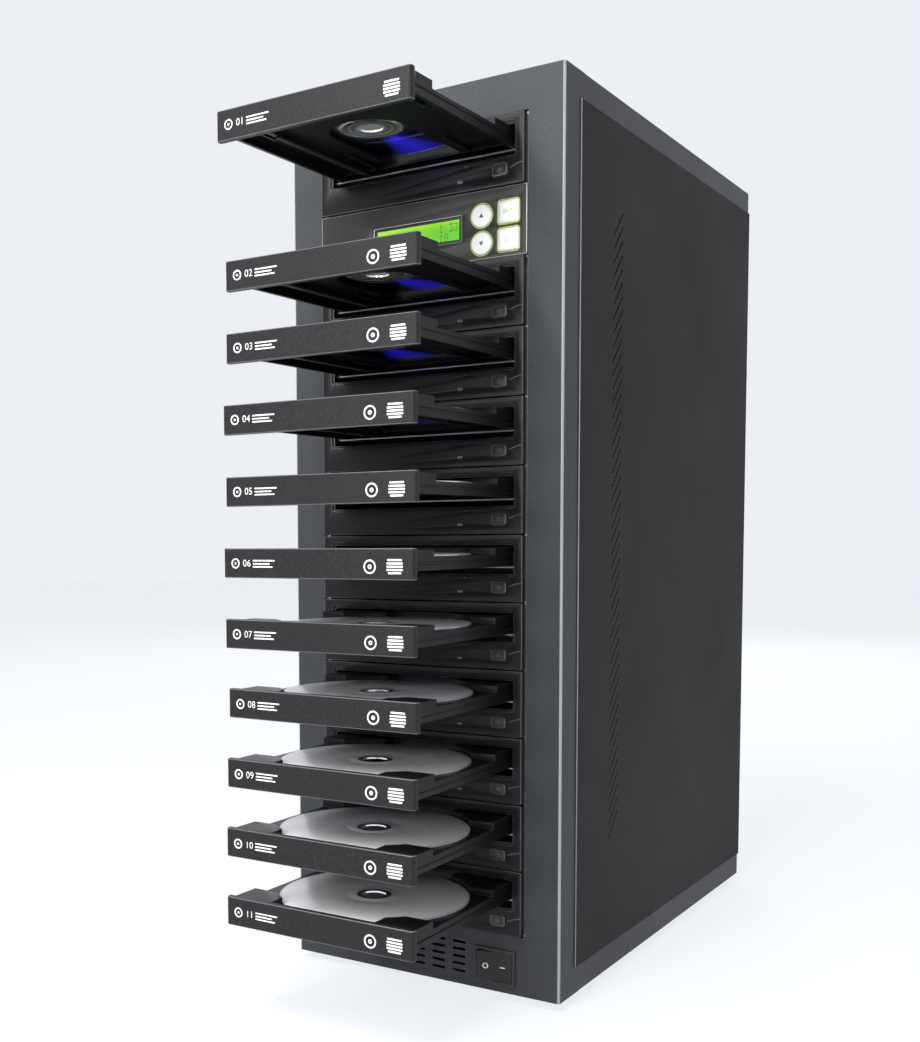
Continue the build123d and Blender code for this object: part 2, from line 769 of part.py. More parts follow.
# Cable loom: a trunk from the supply up behind the drives, with a plug in the back of each
drive_back = bezel_back + drive_depth
plug_width, plug_depth, plug_height = plug_size
loom_front = drive_back + plug_depth
loom_low = bay_top(bay_count - 1) - bay_pitch / 2 - plug_height / 2
loom_high = bay_top(0) - bay_pitch / 2 + plug_height / 2
with BuildPart() as cable_loom:
    with BuildSketch(Plane.XY.offset(loom_low)):
        with Locations((0, loom_front + loom_size / 2)):
            Rectangle(loom_size, loom_size)
    extrude(amount=loom_high - loom_low)
    with BuildSketch(facing(supply_back - supply_y)):
        with Locations((0, loom_low + loom_size / 2)):
            Rectangle(loom_size, loom_size)
    extrude(amount=supply_back - supply_y - loom_front)
    for bay in drive_bays:
        with BuildSketch(facing(loom_front)):
            with Locations((0, bay_top(bay) - bay_pitch / 2)):
                Rectangle(plug_width, plug_height)
        extrude(amount=plug_depth)
write(cable_loom.part, "cable_loom")
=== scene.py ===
import json
import math

import bmesh
import bpy
from mathutils import Matrix, Vector
from mathutils.bvhtree import BVHTree

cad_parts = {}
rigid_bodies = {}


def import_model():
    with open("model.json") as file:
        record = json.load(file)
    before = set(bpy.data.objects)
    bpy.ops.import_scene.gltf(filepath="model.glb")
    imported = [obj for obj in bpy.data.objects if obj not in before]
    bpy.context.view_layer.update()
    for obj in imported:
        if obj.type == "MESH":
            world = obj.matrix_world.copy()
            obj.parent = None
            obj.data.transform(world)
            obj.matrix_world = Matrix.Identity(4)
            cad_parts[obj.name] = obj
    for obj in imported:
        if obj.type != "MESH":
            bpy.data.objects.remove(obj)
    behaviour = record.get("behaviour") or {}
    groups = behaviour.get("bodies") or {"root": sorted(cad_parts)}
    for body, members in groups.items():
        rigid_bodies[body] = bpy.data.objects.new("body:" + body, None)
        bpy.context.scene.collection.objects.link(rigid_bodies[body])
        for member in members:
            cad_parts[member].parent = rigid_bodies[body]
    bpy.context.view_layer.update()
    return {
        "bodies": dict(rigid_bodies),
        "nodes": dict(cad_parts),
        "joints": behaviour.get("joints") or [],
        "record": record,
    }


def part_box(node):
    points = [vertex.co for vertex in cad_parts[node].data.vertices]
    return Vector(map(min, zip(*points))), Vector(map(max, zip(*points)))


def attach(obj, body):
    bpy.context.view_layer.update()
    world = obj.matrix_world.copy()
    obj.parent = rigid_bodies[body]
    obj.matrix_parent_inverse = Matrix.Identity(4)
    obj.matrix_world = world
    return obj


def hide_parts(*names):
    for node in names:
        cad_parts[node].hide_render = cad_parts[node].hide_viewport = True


# A disc duplicator tower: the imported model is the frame, and this script dresses it. The pieces' sizes are in
# millimetres, and those of the camera, the lamps and the floor in metres.
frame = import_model()
nodes = frame["nodes"]
scene = bpy.context.scene
mm = 0.001
driveNumbers = range(1, 12)
bayPitch = 43
doorBelowBay = 7  # from a bay's top down to the top of its tray's door
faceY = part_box("front_panel")[0].y / mm  # the case's front
bayTops = {number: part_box(f"tray_{number:02d}")[1].z / mm + doorBelowBay for number in driveNumbers}
doorFronts = {number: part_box(f"tray_{number:02d}")[0].y / mm for number in driveNumbers}
print("frame loaded:", len(nodes), "nodes")


# ---- node helpers
socketKinds = {int: "Int", float: "Float", 3: "Vector", 4: "Color"}  # by a value's type, or by how many numbers it has


def addSockets(tree, way, sockets):
    # each socket has a label and a value, or the name of a kind where it has no value
    for label, value in sockets.items():
        kind = value if isinstance(value, str) else socketKinds[len(value) if isinstance(value, tuple) else type(value)]
        socket = tree.interface.new_socket(label, in_out=way, socket_type="NodeSocket" + kind)
        if value != kind:
            socket.default_value = value


def setInputs(tree, node, values):
    # another node's socket is linked, and a plain value is set
    for label, value in values.items():
        if isinstance(value, bpy.types.NodeSocket):
            tree.links.new(value, node.inputs[label])
        else:
            node.inputs[label].default_value = value
    return node


def addNode(tree, kind, values=None, **settings):
    node = tree.nodes.new(kind)
    for name, value in settings.items():
        setattr(node, name, value)
    return setInputs(tree, node, values or {})


def mathNode(tree, operation, *values, clamp=False):
    return addNode(tree, "ShaderNodeMath", dict(enumerate(values)), operation=operation, use_clamp=clamp).outputs[0]


mixSockets = {"first": 6, "second": 7, "result": 2}  # the Mix node's colour sockets


def mixColour(tree, factor, first, second):
    values = {"Factor": factor, mixSockets["first"]: first, mixSockets["second"]: second}
    return addNode(tree, "ShaderNodeMix", values, data_type="RGBA").outputs[mixSockets["result"]]


def rampNode(tree, value, stops):
    node = addNode(tree, "ShaderNodeValToRGB", {"Fac": value})
    elements = node.color_ramp.elements
    while len(elements) < len(stops):
        elements.new(0.5)
    for element, (at, colour) in zip(elements, stops):
        element.position = at
        element.color = (*colour, 1)
    return node.outputs["Color"]


def seenRays(tree):
    # 1 for what the eye sees, straight or by way of metal and glass
    path = tree.nodes.new("ShaderNodeLightPath")
    seen = path.outputs["Is Camera Ray"]
    for ray in ("Is Glossy Ray", "Is Transmission Ray"):
        seen = mathNode(tree, "MAXIMUM", seen, path.outputs[ray])
    return seen


# ---- camera, lamps and world
cameraSetup = {
    "place": (0.4215, -0.8713, 0.3035),
    "turn": 0.611,  # radians left of straight ahead
    "tip": 0.077,  # radians down
    "roll": -0.009,
    "lens": 44.38,
    "sensor": 36,
    "shift": (0.154, 0.109),
}


def makeCamera():
    turn, tip, roll = cameraSetup["turn"], cameraSetup["tip"], cameraSetup["roll"]
    ahead = Vector((-math.sin(turn) * math.cos(tip), math.cos(turn) * math.cos(tip), -math.sin(tip)))
    right = Vector((math.cos(turn), math.sin(turn), 0))
    up = right.cross(ahead)
    rolledRight = math.cos(roll) * right + math.sin(roll) * up
    rolledUp = math.cos(roll) * up - math.sin(roll) * right
    camera = bpy.data.cameras.new("camera")
    camera.lens = cameraSetup["lens"]
    camera.sensor_width = cameraSetup["sensor"]
    camera.shift_x, camera.shift_y = cameraSetup["shift"]
    holder = bpy.data.objects.new("camera", camera)
    scene.collection.objects.link(holder)
    facing = Matrix((rolledRight, rolledUp, -ahead)).transposed().to_4x4()
    holder.matrix_world = Matrix.Translation(cameraSetup["place"]) @ facing
    scene.camera = holder


lampSetups = {
    # name: place, what it points at, size, power in watts
    "key": ((-1.0, -2.1, 1.85), (0, -0.15, 0.3), 0.7, 24),
    "gloss": ((-0.25, -2.0, 0.85), (0.06, -0.13, 0.45), 0.9, 19),
    "nearCamera": ((1.0, -1.7, 0.75), (0, -0.1, 0.3), 0.35, 8),
    "side": ((2.4, 1.7, 1.0), (0, 0.2, 0.2), 1.2, 5),
    "above": ((0.05, -1.3, 1.9), (0, -0.25, 0.2), 0.6, 28),
    "back": ((-0.8, 2.4, 1.6), (0, 0, 0.3), 1.6, 26),
}


def makeLamps():
    for name, (place, aim, size, power) in lampSetups.items():
        lamp = bpy.data.lights.new(name, "AREA")
        lamp.size = size
        lamp.energy = power
        holder = bpy.data.objects.new(name, lamp)
        scene.collection.objects.link(holder)
        holder.location = place
        holder.rotation_euler = (Vector(aim) - Vector(place)).to_track_quat("-Z", "Y").to_euler()


backdropColour = (0.93, 0.95, 1.0, 1)
worldStrength = {"light": 0.22, "seen": 0.91}


def makeWorld():
    world = bpy.data.worlds.new("studio")
    scene.world = world
    world.use_nodes = True
    tree = world.node_tree
    tree.nodes.clear()
    light, seen = (addNode(tree, "ShaderNodeBackground", {"Color": backdropColour, "Strength": worldStrength[use]})
                   for use in ("light", "seen"))
    mix = addNode(tree, "ShaderNodeMixShader", {"Fac": seenRays(tree), 1: light.outputs[0], 2: seen.outputs[0]})
    addNode(tree, "ShaderNodeOutputWorld", {"Surface": mix.outputs[0]})


makeCamera()
makeLamps()
makeWorld()
scene.view_settings.view_transform = "Standard"
print("camera, lamps and world made")


# ---- shader groups that several materials share
def newGroup(name, inputs, outputs):
    group = bpy.data.node_groups.new(name, "ShaderNodeTree")
    addSockets(group, "INPUT", inputs)
    addSockets(group, "OUTPUT", outputs)
    return group, group.nodes.new("NodeGroupInput").outputs, group.nodes.new("NodeGroupOutput")


def makeGrainGroup():
    # fine grain of a powder coat or a spark-eroded moulding: speckled colour, roughness and height
    group, given, end = newGroup(
        "fineGrain", {"Colour": (0.03, 0.03, 0.03, 1), "Speck Colour": (0.1, 0.1, 0.1, 1), "Speck": 0.4, "Scale": 900.0,
                      "Roughness": 0.5}, {"Colour": "Color", "Roughness": "Float", "Height": "Float"})
    spread = 0.16  # how far the roughness wanders in all
    place = group.nodes.new("ShaderNodeTexCoord").outputs["Object"]
    grain = addNode(group, "ShaderNodeTexNoise", {"Vector": place, "Scale": given["Scale"], "Detail": 3})
    cloud = addNode(group, "ShaderNodeTexNoise", {"Vector": place, "Scale": 14, "Detail": 4})
    sharp = addNode(group, "ShaderNodeMapRange", {"Value": grain.outputs["Fac"], "From Min": 0.5, "From Max": 0.72})
    speck = mathNode(group, "MULTIPLY", sharp.outputs[0], given["Speck"])
    lower = mathNode(group, "SUBTRACT", given["Roughness"], spread / 2)
    setInputs(group, end, {
        "Colour": mixColour(group, speck, given["Colour"], given["Speck Colour"]),
        "Roughness": mathNode(group, "MULTIPLY_ADD", cloud.outputs["Fac"], spread, lower),
        "Height": grain.outputs["Fac"]})
    return group


def makeEdgeGroup():
    # rounded look and a painted highlight: a paler colour along every sharp edge
    group, given, end = newGroup(
        "softEdge", {"Colour": (0.03, 0.03, 0.03, 1), "Edge Highlight Colour": (0.3, 0.3, 0.3, 1), "Edge Highlight": 0.5, "Radius": 0.0006},
        {"Colour": "Color", "Normal": "Vector"})
    steepness = 6.0
    bevel = addNode(group, "ShaderNodeBevel", {"Radius": given["Radius"]}, samples=4)
    flat = group.nodes.new("ShaderNodeNewGeometry")
    dot = addNode(group, "ShaderNodeVectorMath", {0: bevel.outputs[0], 1: flat.outputs["Normal"]},
                  operation="DOT_PRODUCT")
    # the edge mask marks where the paler colour is painted along the edges as a highlight
    edge = mathNode(group, "SUBTRACT", 1.0, dot.outputs["Value"])
    edge = mathNode(group, "MULTIPLY", edge, steepness, clamp=True)
    edge = mathNode(group, "MULTIPLY", edge, given["Edge Highlight"])
    setInputs(group, end, {"Colour": mixColour(group, edge, given["Colour"], given["Edge Highlight Colour"]),
                           "Normal": bevel.outputs[0]})
    return group


def makeRingGroup():
    # place on a disc, from its own flat map: distance from the middle, turn about it, and fine grooves
    group, given, end = newGroup("discPlace", {"Groove Count": 160.0},
                                 {"Radius": "Float", "Turn": "Float", "Grooves": "Float"})
    place = addNode(group, "ShaderNodeUVMap", uv_map="discMap")
    centred = addNode(group, "ShaderNodeVectorMath", {0: place.outputs["UV"], 1: (0.5, 0.5, 0)}, operation="SUBTRACT")
    length = addNode(group, "ShaderNodeVectorMath", {0: centred.outputs[0]}, operation="LENGTH")
    parts = addNode(group, "ShaderNodeSeparateXYZ", {0: centred.outputs[0]})
    radius = mathNode(group, "MULTIPLY", length.outputs["Value"], 2.0)
    angle = mathNode(group, "ARCTAN2", parts.outputs["Y"], parts.outputs["X"])
    waves = mathNode(group, "MULTIPLY", radius, given["Groove Count"])
    setInputs(group, end, {"Radius": radius, "Turn": mathNode(group, "MULTIPLY_ADD", angle, 1 / math.tau, 0.5),
                           "Grooves": mathNode(group, "SINE", waves)})
    return group


grainGroup = makeGrainGroup()
edgeGroup = makeEdgeGroup()
ringGroup = makeRingGroup()


# ---- materials
def newMaterial(name):
    material = bpy.data.materials.new(name)
    material.use_nodes = True
    return material, material.node_tree, material.node_tree.nodes["Principled BSDF"]


surfaceLooks = {
    # colour, speck colour, speck, scale, roughness, bump, edge highlight, edge highlight colour, and shine and metallic
    # where they differ from plain plastic; a single number for a colour is a grey; the edge highlight is a painted
    # highlight, a paler colour along sharp edges
    "casePaint": ((0.034, 0.0365, 0.040), (0.13, 0.14, 0.152), 0.36, 1700, 0.48, 0.3, 0.6, (0.30, 0.31, 0.33), 0.20),
    # the next three are lighter looks for bevels: painted highlights; the panel's edge is partly its bare silver metal
    "caseEdge": ((0.30, 0.32, 0.34), (0.42, 0.44, 0.46), 0.5, 900, 0.32, 0.2, 0.0, 0.5, 0.6),
    "bezelEdge": ((0.10, 0.10, 0.11), (0.16, 0.16, 0.17), 0.5, 900, 0.28, 0.1, 0.0, 0.5, 0.6),
    "panelEdge": ((0.62, 0.65, 0.60), (0.7, 0.72, 0.68), 0.3, 900, 0.28, 0.1, 0.0, 0.5, 0.5, 0.3),
    "panelPaint": ((0.014, 0.014, 0.015), (0.050, 0.050, 0.052), 0.45, 1000, 0.58, 0.3, 0.6, (0.25, 0.25, 0.26), 0.09),
    "bezelPlastic": ((0.007, 0.007, 0.008), 0.018, 0.3, 1500, 0.34, 0.12, 0.5, (0.14, 0.14, 0.15), 0.2),
    "doorPlastic": ((0.014, 0.014, 0.0148), (0.048, 0.048, 0.050), 0.45, 1100, 0.45, 0.2, 0.5, (0.16, 0.16, 0.17),
                    0.17),
    "trayPlastic": ((0.005, 0.005, 0.006), 0.015, 0.25, 1500, 0.34, 0.06, 0.4, (0.08, 0.08, 0.09), 0.13),
    "zincSteel": ((0.36, 0.37, 0.38), (0.55, 0.56, 0.57), 0.6, 260, 0.38, 0.05, 0.2, 0.7, 0.5, 0.9),
    "gunmetal": ((0.026, 0.028, 0.024), (0.060, 0.064, 0.056), 0.3, 1400, 0.36, 0.08, 0.0, (0.80, 0.83, 0.78), 0.22),
    "footRubber": (0.02, 0.05, 0.3, 700, 0.8, 0.3, 0.2, 0.1),
    "screwSteel": (0.5, 0.7, 0.3, 400, 0.28, 0.05, 0.3, 0.8, 0.5, 1.0),
    "switchPlastic": ((0.022, 0.021, 0.021), 0.05, 0.2, 1500, 0.35, 0.06, 0.5, (0.16, 0.16, 0.17), 0.35),
    "fanPlastic": (0.015, 0.03, 0.3, 900, 0.4, 0.05, 0.2, 0.08),
    "circuitBoard": ((0.012, 0.10, 0.035), (0.5, 0.4, 0.1), 0.3, 500, 0.4, 0.1, 0.2, (0.3, 0.4, 0.2)),
    "keyPlastic": ((0.96, 0.97, 0.95), (0.98, 0.98, 0.97), 0.2, 900, 0.35, 0.03, 0.3, (0.60, 0.70, 0.52)),
    "whitePrint": ((0.86, 0.87, 0.86), 0.7, 0.3, 1600, 0.5, 0.02, 0.0, 0.8),
    "greenPrint": ((0.015, 0.12, 0.025), (0.03, 0.16, 0.04), 0.3, 1600, 0.5, 0.02, 0.0, (0.1, 0.3, 0.1)),
    "limePrint": ((0.50, 0.66, 0.12), (0.55, 0.7, 0.2), 0.3, 1600, 0.5, 0.02, 0.0, (0.5, 0.6, 0.2)),
    "greyPrint": ((0.56, 0.57, 0.56), 0.6, 0.3, 1600, 0.5, 0.02, 0.0, 0.5),
    "lightLens": ((0.16, 0.18, 0.16), (0.3, 0.34, 0.3), 0.4, 900, 0.12, 0.02, 0.3, 0.5, 0.6),
    "ejectPlastic": ((0.020, 0.020, 0.021), 0.05, 0.3, 1500, 0.33, 0.08, 0.8, (0.30, 0.30, 0.31), 0.4),
    "rockerPlastic": ((0.016, 0.015, 0.015), 0.04, 0.2, 1500, 0.3, 0.05, 0.5, (0.14, 0.14, 0.15), 0.3),
    "faintPrint": (0.06, 0.08, 0.3, 1600, 0.45, 0.02, 0.0, 0.06),
    "paleFloor": ((0.80, 0.81, 0.83), (0.84, 0.85, 0.86), 0.3, 40, 0.85, 0.02, 0.0, 0.8, 0.2),
}
bumpHeight = 0.0002


def fullColour(value):
    return (*value, 1) if isinstance(value, tuple) else (value, value, value, 1)


def grainyMaterial(name, colour, speckColour, speck, scale, roughness, bump, edgeHighlight, edgeHighlightColour, shine=0.5, metallic=0.0):
    # painted or moulded surface: grain, a painted highlight along the edges and a fine bump
    material, tree, shader = newMaterial(name)
    grain = addNode(tree, "ShaderNodeGroup", {
        "Colour": fullColour(colour), "Speck Colour": fullColour(speckColour), "Speck": speck, "Scale": scale,
        "Roughness": roughness}, node_tree=grainGroup).outputs
    edge = addNode(tree, "ShaderNodeGroup", {
        "Colour": grain["Colour"], "Edge Highlight Colour": fullColour(edgeHighlightColour), "Edge Highlight": edgeHighlight}, node_tree=edgeGroup).outputs
    relief = addNode(tree, "ShaderNodeBump", {
        "Strength": bump, "Distance": bumpHeight, "Height": grain["Height"], "Normal": edge["Normal"]})
    setInputs(tree, shader, {
        "Base Color": edge["Colour"], "Roughness": grain["Roughness"], "Normal": relief.outputs["Normal"],
        "Specular IOR Level": shine, "Metallic": metallic})
    return material


discTopLook = {
    # stops are shares of the disc's radius
    "stops": [(0.125, (0.30, 0.30, 0.31)), (0.137, (0.05, 0.05, 0.055)), (0.178, (0.03, 0.03, 0.032)),
              (0.183, (0.64, 0.64, 0.65)), (0.193, (0.86, 0.86, 0.87)), (0.30, (0.92, 0.92, 0.93)),
              (0.97, (0.94, 0.94, 0.95)), (0.985, (0.66, 0.66, 0.67))],
    "brushAcross": 90.0, "brushRound": 3.0, "roughness": 0.27, "brushed": 0.02,
}


def makeDiscTop():
    # satin silver face round a clear hub
    look = discTopLook
    material, tree, shader = newMaterial("discTop")
    place = addNode(tree, "ShaderNodeGroup", node_tree=ringGroup).outputs
    spread = addNode(tree, "ShaderNodeCombineXYZ", {
        "X": mathNode(tree, "MULTIPLY", place["Radius"], look["brushAcross"]),
        "Y": mathNode(tree, "MULTIPLY", place["Turn"], look["brushRound"])})
    brushed = addNode(tree, "ShaderNodeTexNoise", noise_dimensions="2D")
    setInputs(tree, brushed, {"Vector": spread.outputs[0], "Scale": 1.0, "Detail": 1})
    setInputs(tree, shader, {
        "Base Color": rampNode(tree, place["Radius"], look["stops"]), "Metallic": 0.3,
        "Roughness": mathNode(tree, "MULTIPLY_ADD", brushed.outputs["Fac"], look["brushed"], look["roughness"])})
    return material


discUnderLook = {
    # shares of the disc's radius and of a turn about it; the hub's bright rings, the blue streaks in the fans, the
    # glint and the pale rim are painted reflections, and the glint's glow is painted light
    "hub": [(0.13, (0.85, 0.86, 0.86)), (0.19, (0.20, 0.21, 0.21)), (0.22, (0.75, 0.76, 0.76)),
            (0.25, (0.13, 0.13, 0.14)), (0.29, (0.55, 0.56, 0.56)), (0.31, (0.92, 0.93, 0.93)),
            (0.335, (0.08, 0.08, 0.09)), (0.36, (0.02, 0.02, 0.04))],
    "fans": [(0.0, (0.014, 0.012, 0.05)), (0.10, (0.03, 0.02, 0.07)), (0.16, (0.10, 0.09, 0.13)),
             (0.205, (0.012, 0.010, 0.06)), (0.255, (0.02, 0.012, 0.60)), (0.285, (0.012, 0.010, 0.07)),
             (0.46, (0.05, 0.02, 0.12)), (0.62, (0.015, 0.015, 0.08)), (0.76, (0.02, 0.012, 0.45)),
             (0.80, (0.014, 0.012, 0.06)), (1.0, (0.014, 0.012, 0.05))],
    "hubReach": 0.36, "rimReach": 0.972, "rimColour": (0.75, 0.75, 0.78, 1),
    "wedgeTurn": 0.74, "wedgeWidth": 0.05, "wedgeFade": 0.6, "paintedGlintColour": (0.03, 0.02, 0.95, 1), "glow": 0.3,
}


def makeDiscUnder():
    # recording side: dark violet dye with painted blue fans of reflected light and a glowing painted glint, round a
    # clear hub with painted bright reflection rings and a pale painted rim
    look = discUnderLook
    material, tree, shader = newMaterial("discUnder")
    place = addNode(tree, "ShaderNodeGroup", {"Groove Count": 420}, node_tree=ringGroup).outputs
    hub = rampNode(tree, place["Radius"], look["hub"])
    fans = rampNode(tree, place["Turn"], look["fans"])
    inside = mathNode(tree, "LESS_THAN", place["Radius"], look["hubReach"])
    rim = mathNode(tree, "GREATER_THAN", place["Radius"], look["rimReach"])
    aside = mathNode(tree, "ABSOLUTE", mathNode(tree, "SUBTRACT", place["Turn"], look["wedgeTurn"]))
    paintedGlint = mathNode(tree, "SUBTRACT", 1.0, mathNode(tree, "DIVIDE", aside, look["wedgeWidth"]), clamp=True)
    paintedGlint = mathNode(tree, "MULTIPLY", mathNode(tree, "POWER", paintedGlint, look["wedgeFade"]),
                     mathNode(tree, "SUBTRACT", 1.0, inside))
    colour = mixColour(tree, paintedGlint, fans, look["paintedGlintColour"])
    colour = mixColour(tree, inside, colour, hub)
    setInputs(tree, shader, {
        "Base Color": mixColour(tree, rim, colour, look["rimColour"]),
        # the glint is made less metallic and given a glow: painted light that shows in the shade under the tray
        "Metallic": mathNode(tree, "MULTIPLY_ADD", paintedGlint, -0.7, 0.75),
        "Emission Color": mixColour(tree, paintedGlint, (0, 0, 0, 1), look["paintedGlintColour"]),
        "Emission Strength": look["glow"],
        "Roughness": mathNode(tree, "MULTIPLY_ADD", place["Grooves"], 0.02, 0.12),
        "Coat Weight": 0.4})
    return material


def makeDiscRim():
    # clear moulded edge, painted pale as the highlight where it catches the light
    material, tree, shader = newMaterial("discRim")
    place = tree.nodes.new("ShaderNodeTexCoord").outputs["Object"]
    cloud = addNode(tree, "ShaderNodeTexNoise", {"Vector": place, "Scale": 60}).outputs["Fac"]
    setInputs(tree, shader, {
        "Base Color": rampNode(tree, cloud, [(0.3, (0.55, 0.56, 0.60)), (0.7, (0.86, 0.87, 0.90))]),
        "Roughness": mathNode(tree, "MULTIPLY_ADD", cloud, 0.1, 0.1), "Metallic": 0.35})
    return material


displayLook = {"low": (0.10, 0.40, 0.010, 1), "high": (0.27, 0.55, 0.010, 1), "glow": 0.65,
               "rise": 8, "right": 10, "left": -34}


def makeDisplayGreen():
    # lit display: yellower and brighter towards its upper edge and its left end
    look = displayLook
    material, tree, shader = newMaterial("displayGreen")
    coords = tree.nodes.new("ShaderNodeTexCoord")
    parts = addNode(tree, "ShaderNodeSeparateXYZ", {0: coords.outputs["Object"]}).outputs
    low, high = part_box("lcd_display")
    middle = (low.z + high.z) / 2
    rise = addNode(tree, "ShaderNodeMapRange", {
        "Value": parts["Z"], "From Min": middle, "From Max": middle + look["rise"] * mm}).outputs[0]
    across = addNode(tree, "ShaderNodeMapRange", {
        "Value": parts["X"], "From Min": look["right"] * mm, "From Max": look["left"] * mm}).outputs[0]
    both = mathNode(tree, "MULTIPLY_ADD", across, 0.6, mathNode(tree, "POWER", rise, 1.6), clamp=True)
    colour = mixColour(tree, both, look["low"], look["high"])
    setInputs(tree, shader, {
        "Base Color": colour, "Emission Color": colour, "Emission Strength": look["glow"],
        "Roughness": mathNode(tree, "MULTIPLY_ADD", both, 0.1, 0.2)})
    return material


floorLook = {"strength": 1.15, "share": 0.72}


def makeFloorMaterial():
    # pale floor that stays pale to the eye and keeps a soft shadow
    material = grainyMaterial("paleFloor", *surfaceLooks["paleFloor"])
    tree = material.node_tree
    pale = addNode(tree, "ShaderNodeEmission", {"Color": backdropColour, "Strength": floorLook["strength"]})
    share = mathNode(tree, "MULTIPLY", seenRays(tree), floorLook["share"])
    mix = addNode(tree, "ShaderNodeMixShader", {
        "Fac": share, 1: tree.nodes["Principled BSDF"].outputs[0], 2: pale.outputs[0]})
    setInputs(tree, tree.nodes["Material Output"], {"Surface": mix.outputs[0]})
    return material


looks = {name: grainyMaterial(name, *look) for name, look in surfaceLooks.items() if name != "paleFloor"}
looks["paleFloor"] = makeFloorMaterial()
looks["discTop"] = makeDiscTop()
looks["discUnder"] = makeDiscUnder()
looks["discRim"] = makeDiscRim()
looks["displayGreen"] = makeDisplayGreen()

nodeLooks = {
    # solids that keep their own mesh
    "zincSteel": ("drive_cage", "drive_cases", "controller_sled", "power_supply"),
    "switchPlastic": ("power_inlet", "cable_loom", "lcd_display"),
    "fanPlastic": ("fan_frame", "fan_rotor"),
    "circuitBoard": ("circuit_boards",),
    "lightLens": ("drive_lights",),
}
for lookName, members in nodeLooks.items():
    for member in members:
        nodes[member].data.materials.clear()
        nodes[member].data.materials.append(looks[lookName])
print("surfaces painted")


# ---- mesh helpers
def scaled(*numbers):
    return tuple(number * mm for number in numbers)


def newPiece(name, mesh, *lookNames):
    piece = bpy.data.objects.new(name, mesh)
    scene.collection.objects.link(piece)
    if mesh.materials:  # clearing an empty list too would lose the faces' material numbers
        mesh.materials.clear()
    for lookName in lookNames:
        mesh.materials.append(looks[lookName])
    return piece


def fixPiece(piece, body, slotName, *replaced):
    if replaced:
        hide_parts(*replaced)
    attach(piece, body)


def finishMesh(work, name, smoothAngle=30):
    mesh = bpy.data.meshes.new(name)
    work.to_mesh(mesh)
    work.free()
    for face in mesh.polygons:
        face.use_smooth = True
    mesh.set_sharp_from_angle(angle=math.radians(smoothAngle))
    return mesh


def gatherMeshes(name, items, lift=0):
    # one mesh out of several, lifted together: each item is a mesh and its material's number
    work = bmesh.new()
    for mesh, materialNumber in items:
        firstVertex, firstFace = len(work.verts), len(work.faces)
        work.from_mesh(mesh)
        work.verts.ensure_lookup_table()
        work.faces.ensure_lookup_table()
        bmesh.ops.translate(work, verts=work.verts[firstVertex:], vec=scaled(0, 0, lift))
        if materialNumber is not None:  # none keeps the numbers that the mesh has
            for face in work.faces[firstFace:]:
                face.material_index = materialNumber
    return finishMesh(work, name)


def gatherPiece(name, items, *lookNames, lift=0):
    return newPiece(name, gatherMeshes(name, items, lift), *lookNames)


def addBevel(piece, width, segments=2, angle=30):
    bevel = piece.modifiers.new("edges", "BEVEL")
    bevel.width = width * mm
    bevel.segments = segments
    bevel.limit_method = "ANGLE"
    bevel.angle_limit = math.radians(angle)
    return bevel


def mergeNode(nodeName):
    work = bmesh.new()
    work.from_mesh(nodes[nodeName].data)
    bmesh.ops.remove_doubles(work, verts=work.verts, dist=1e-6)
    return work


def dissolveFlat(work):
    bmesh.ops.dissolve_limit(work, angle_limit=math.radians(0.5), verts=work.verts, edges=work.edges)
    return work


def nodeIslands(nodeName):
    # the separate solids of a CAD node as clean bmeshes, front one first
    whole = mergeNode(nodeName)
    unseen = set(whole.verts)
    parts = []
    while unseen:
        keep, waiting = set(), [unseen.pop()]
        while waiting:
            vertex = waiting.pop()
            keep.add(vertex.index)
            for link in vertex.link_edges:
                other = link.other_vert(vertex)
                if other in unseen:
                    unseen.discard(other)
                    waiting.append(other)
        part = whole.copy()
        bmesh.ops.delete(part, geom=[vertex for vertex in part.verts if vertex.index not in keep], context="VERTS")
        parts.append(dissolveFlat(part))
    whole.free()
    return sorted(parts, key=lambda part: max(vertex.co.y for vertex in part.verts))


edgeLimits = {"longEdge": 0.1, "slope": 0.25, "flat": 0.97}  # metres, and shares of a normal


def refineNode(pieceName, body, nodeName, lookName, slotName, width, edgeLook=None):
    # merged copy of a CAD node with softened edges, which may have a lighter look of their own, a painted highlight
    mesh = finishMesh(dissolveFlat(mergeNode(nodeName)), pieceName)
    piece = newPiece(pieceName, mesh, lookName, *([edgeLook] if edgeLook else []))
    bevel = addBevel(piece, width)
    if edgeLook:
        # only the long outer edges are softened, and slots and holes stay crisp
        bevel.material = 1
        bevel.limit_method = "WEIGHT"
        weights = mesh.attributes.new("bevel_weight_edge", "FLOAT", "EDGE")
        for edge in mesh.edges:
            first, second = (mesh.vertices[number].co for number in edge.vertices)
            isLong = (first - second).length > edgeLimits["longEdge"]
            weights.data[edge.index].value = 1.0 if edge.use_edge_sharp and isLong else 0.0
        # faces that slope towards the front, such as the rounded front corners, take the lighter look: a painted
        # highlight
        for face in mesh.polygons:
            if face.normal.y < -edgeLimits["slope"] and abs(face.normal.x) > edgeLimits["slope"]:
                face.material_index = 1
    fixPiece(piece, body, slotName, nodeName)


def meshOfCurve(curve):
    holder = bpy.data.objects.new("outline", curve)
    scene.collection.objects.link(holder)
    mesh = bpy.data.meshes.new_from_object(holder.evaluated_get(bpy.context.evaluated_depsgraph_get()))
    bpy.data.objects.remove(holder)
    bpy.data.curves.remove(curve)
    work = bmesh.new()
    work.from_mesh(mesh)
    bmesh.ops.remove_doubles(work, verts=work.verts, dist=1e-7)
    bmesh.ops.recalc_face_normals(work, faces=work.faces)
    work.to_mesh(mesh)
    work.free()
    return mesh


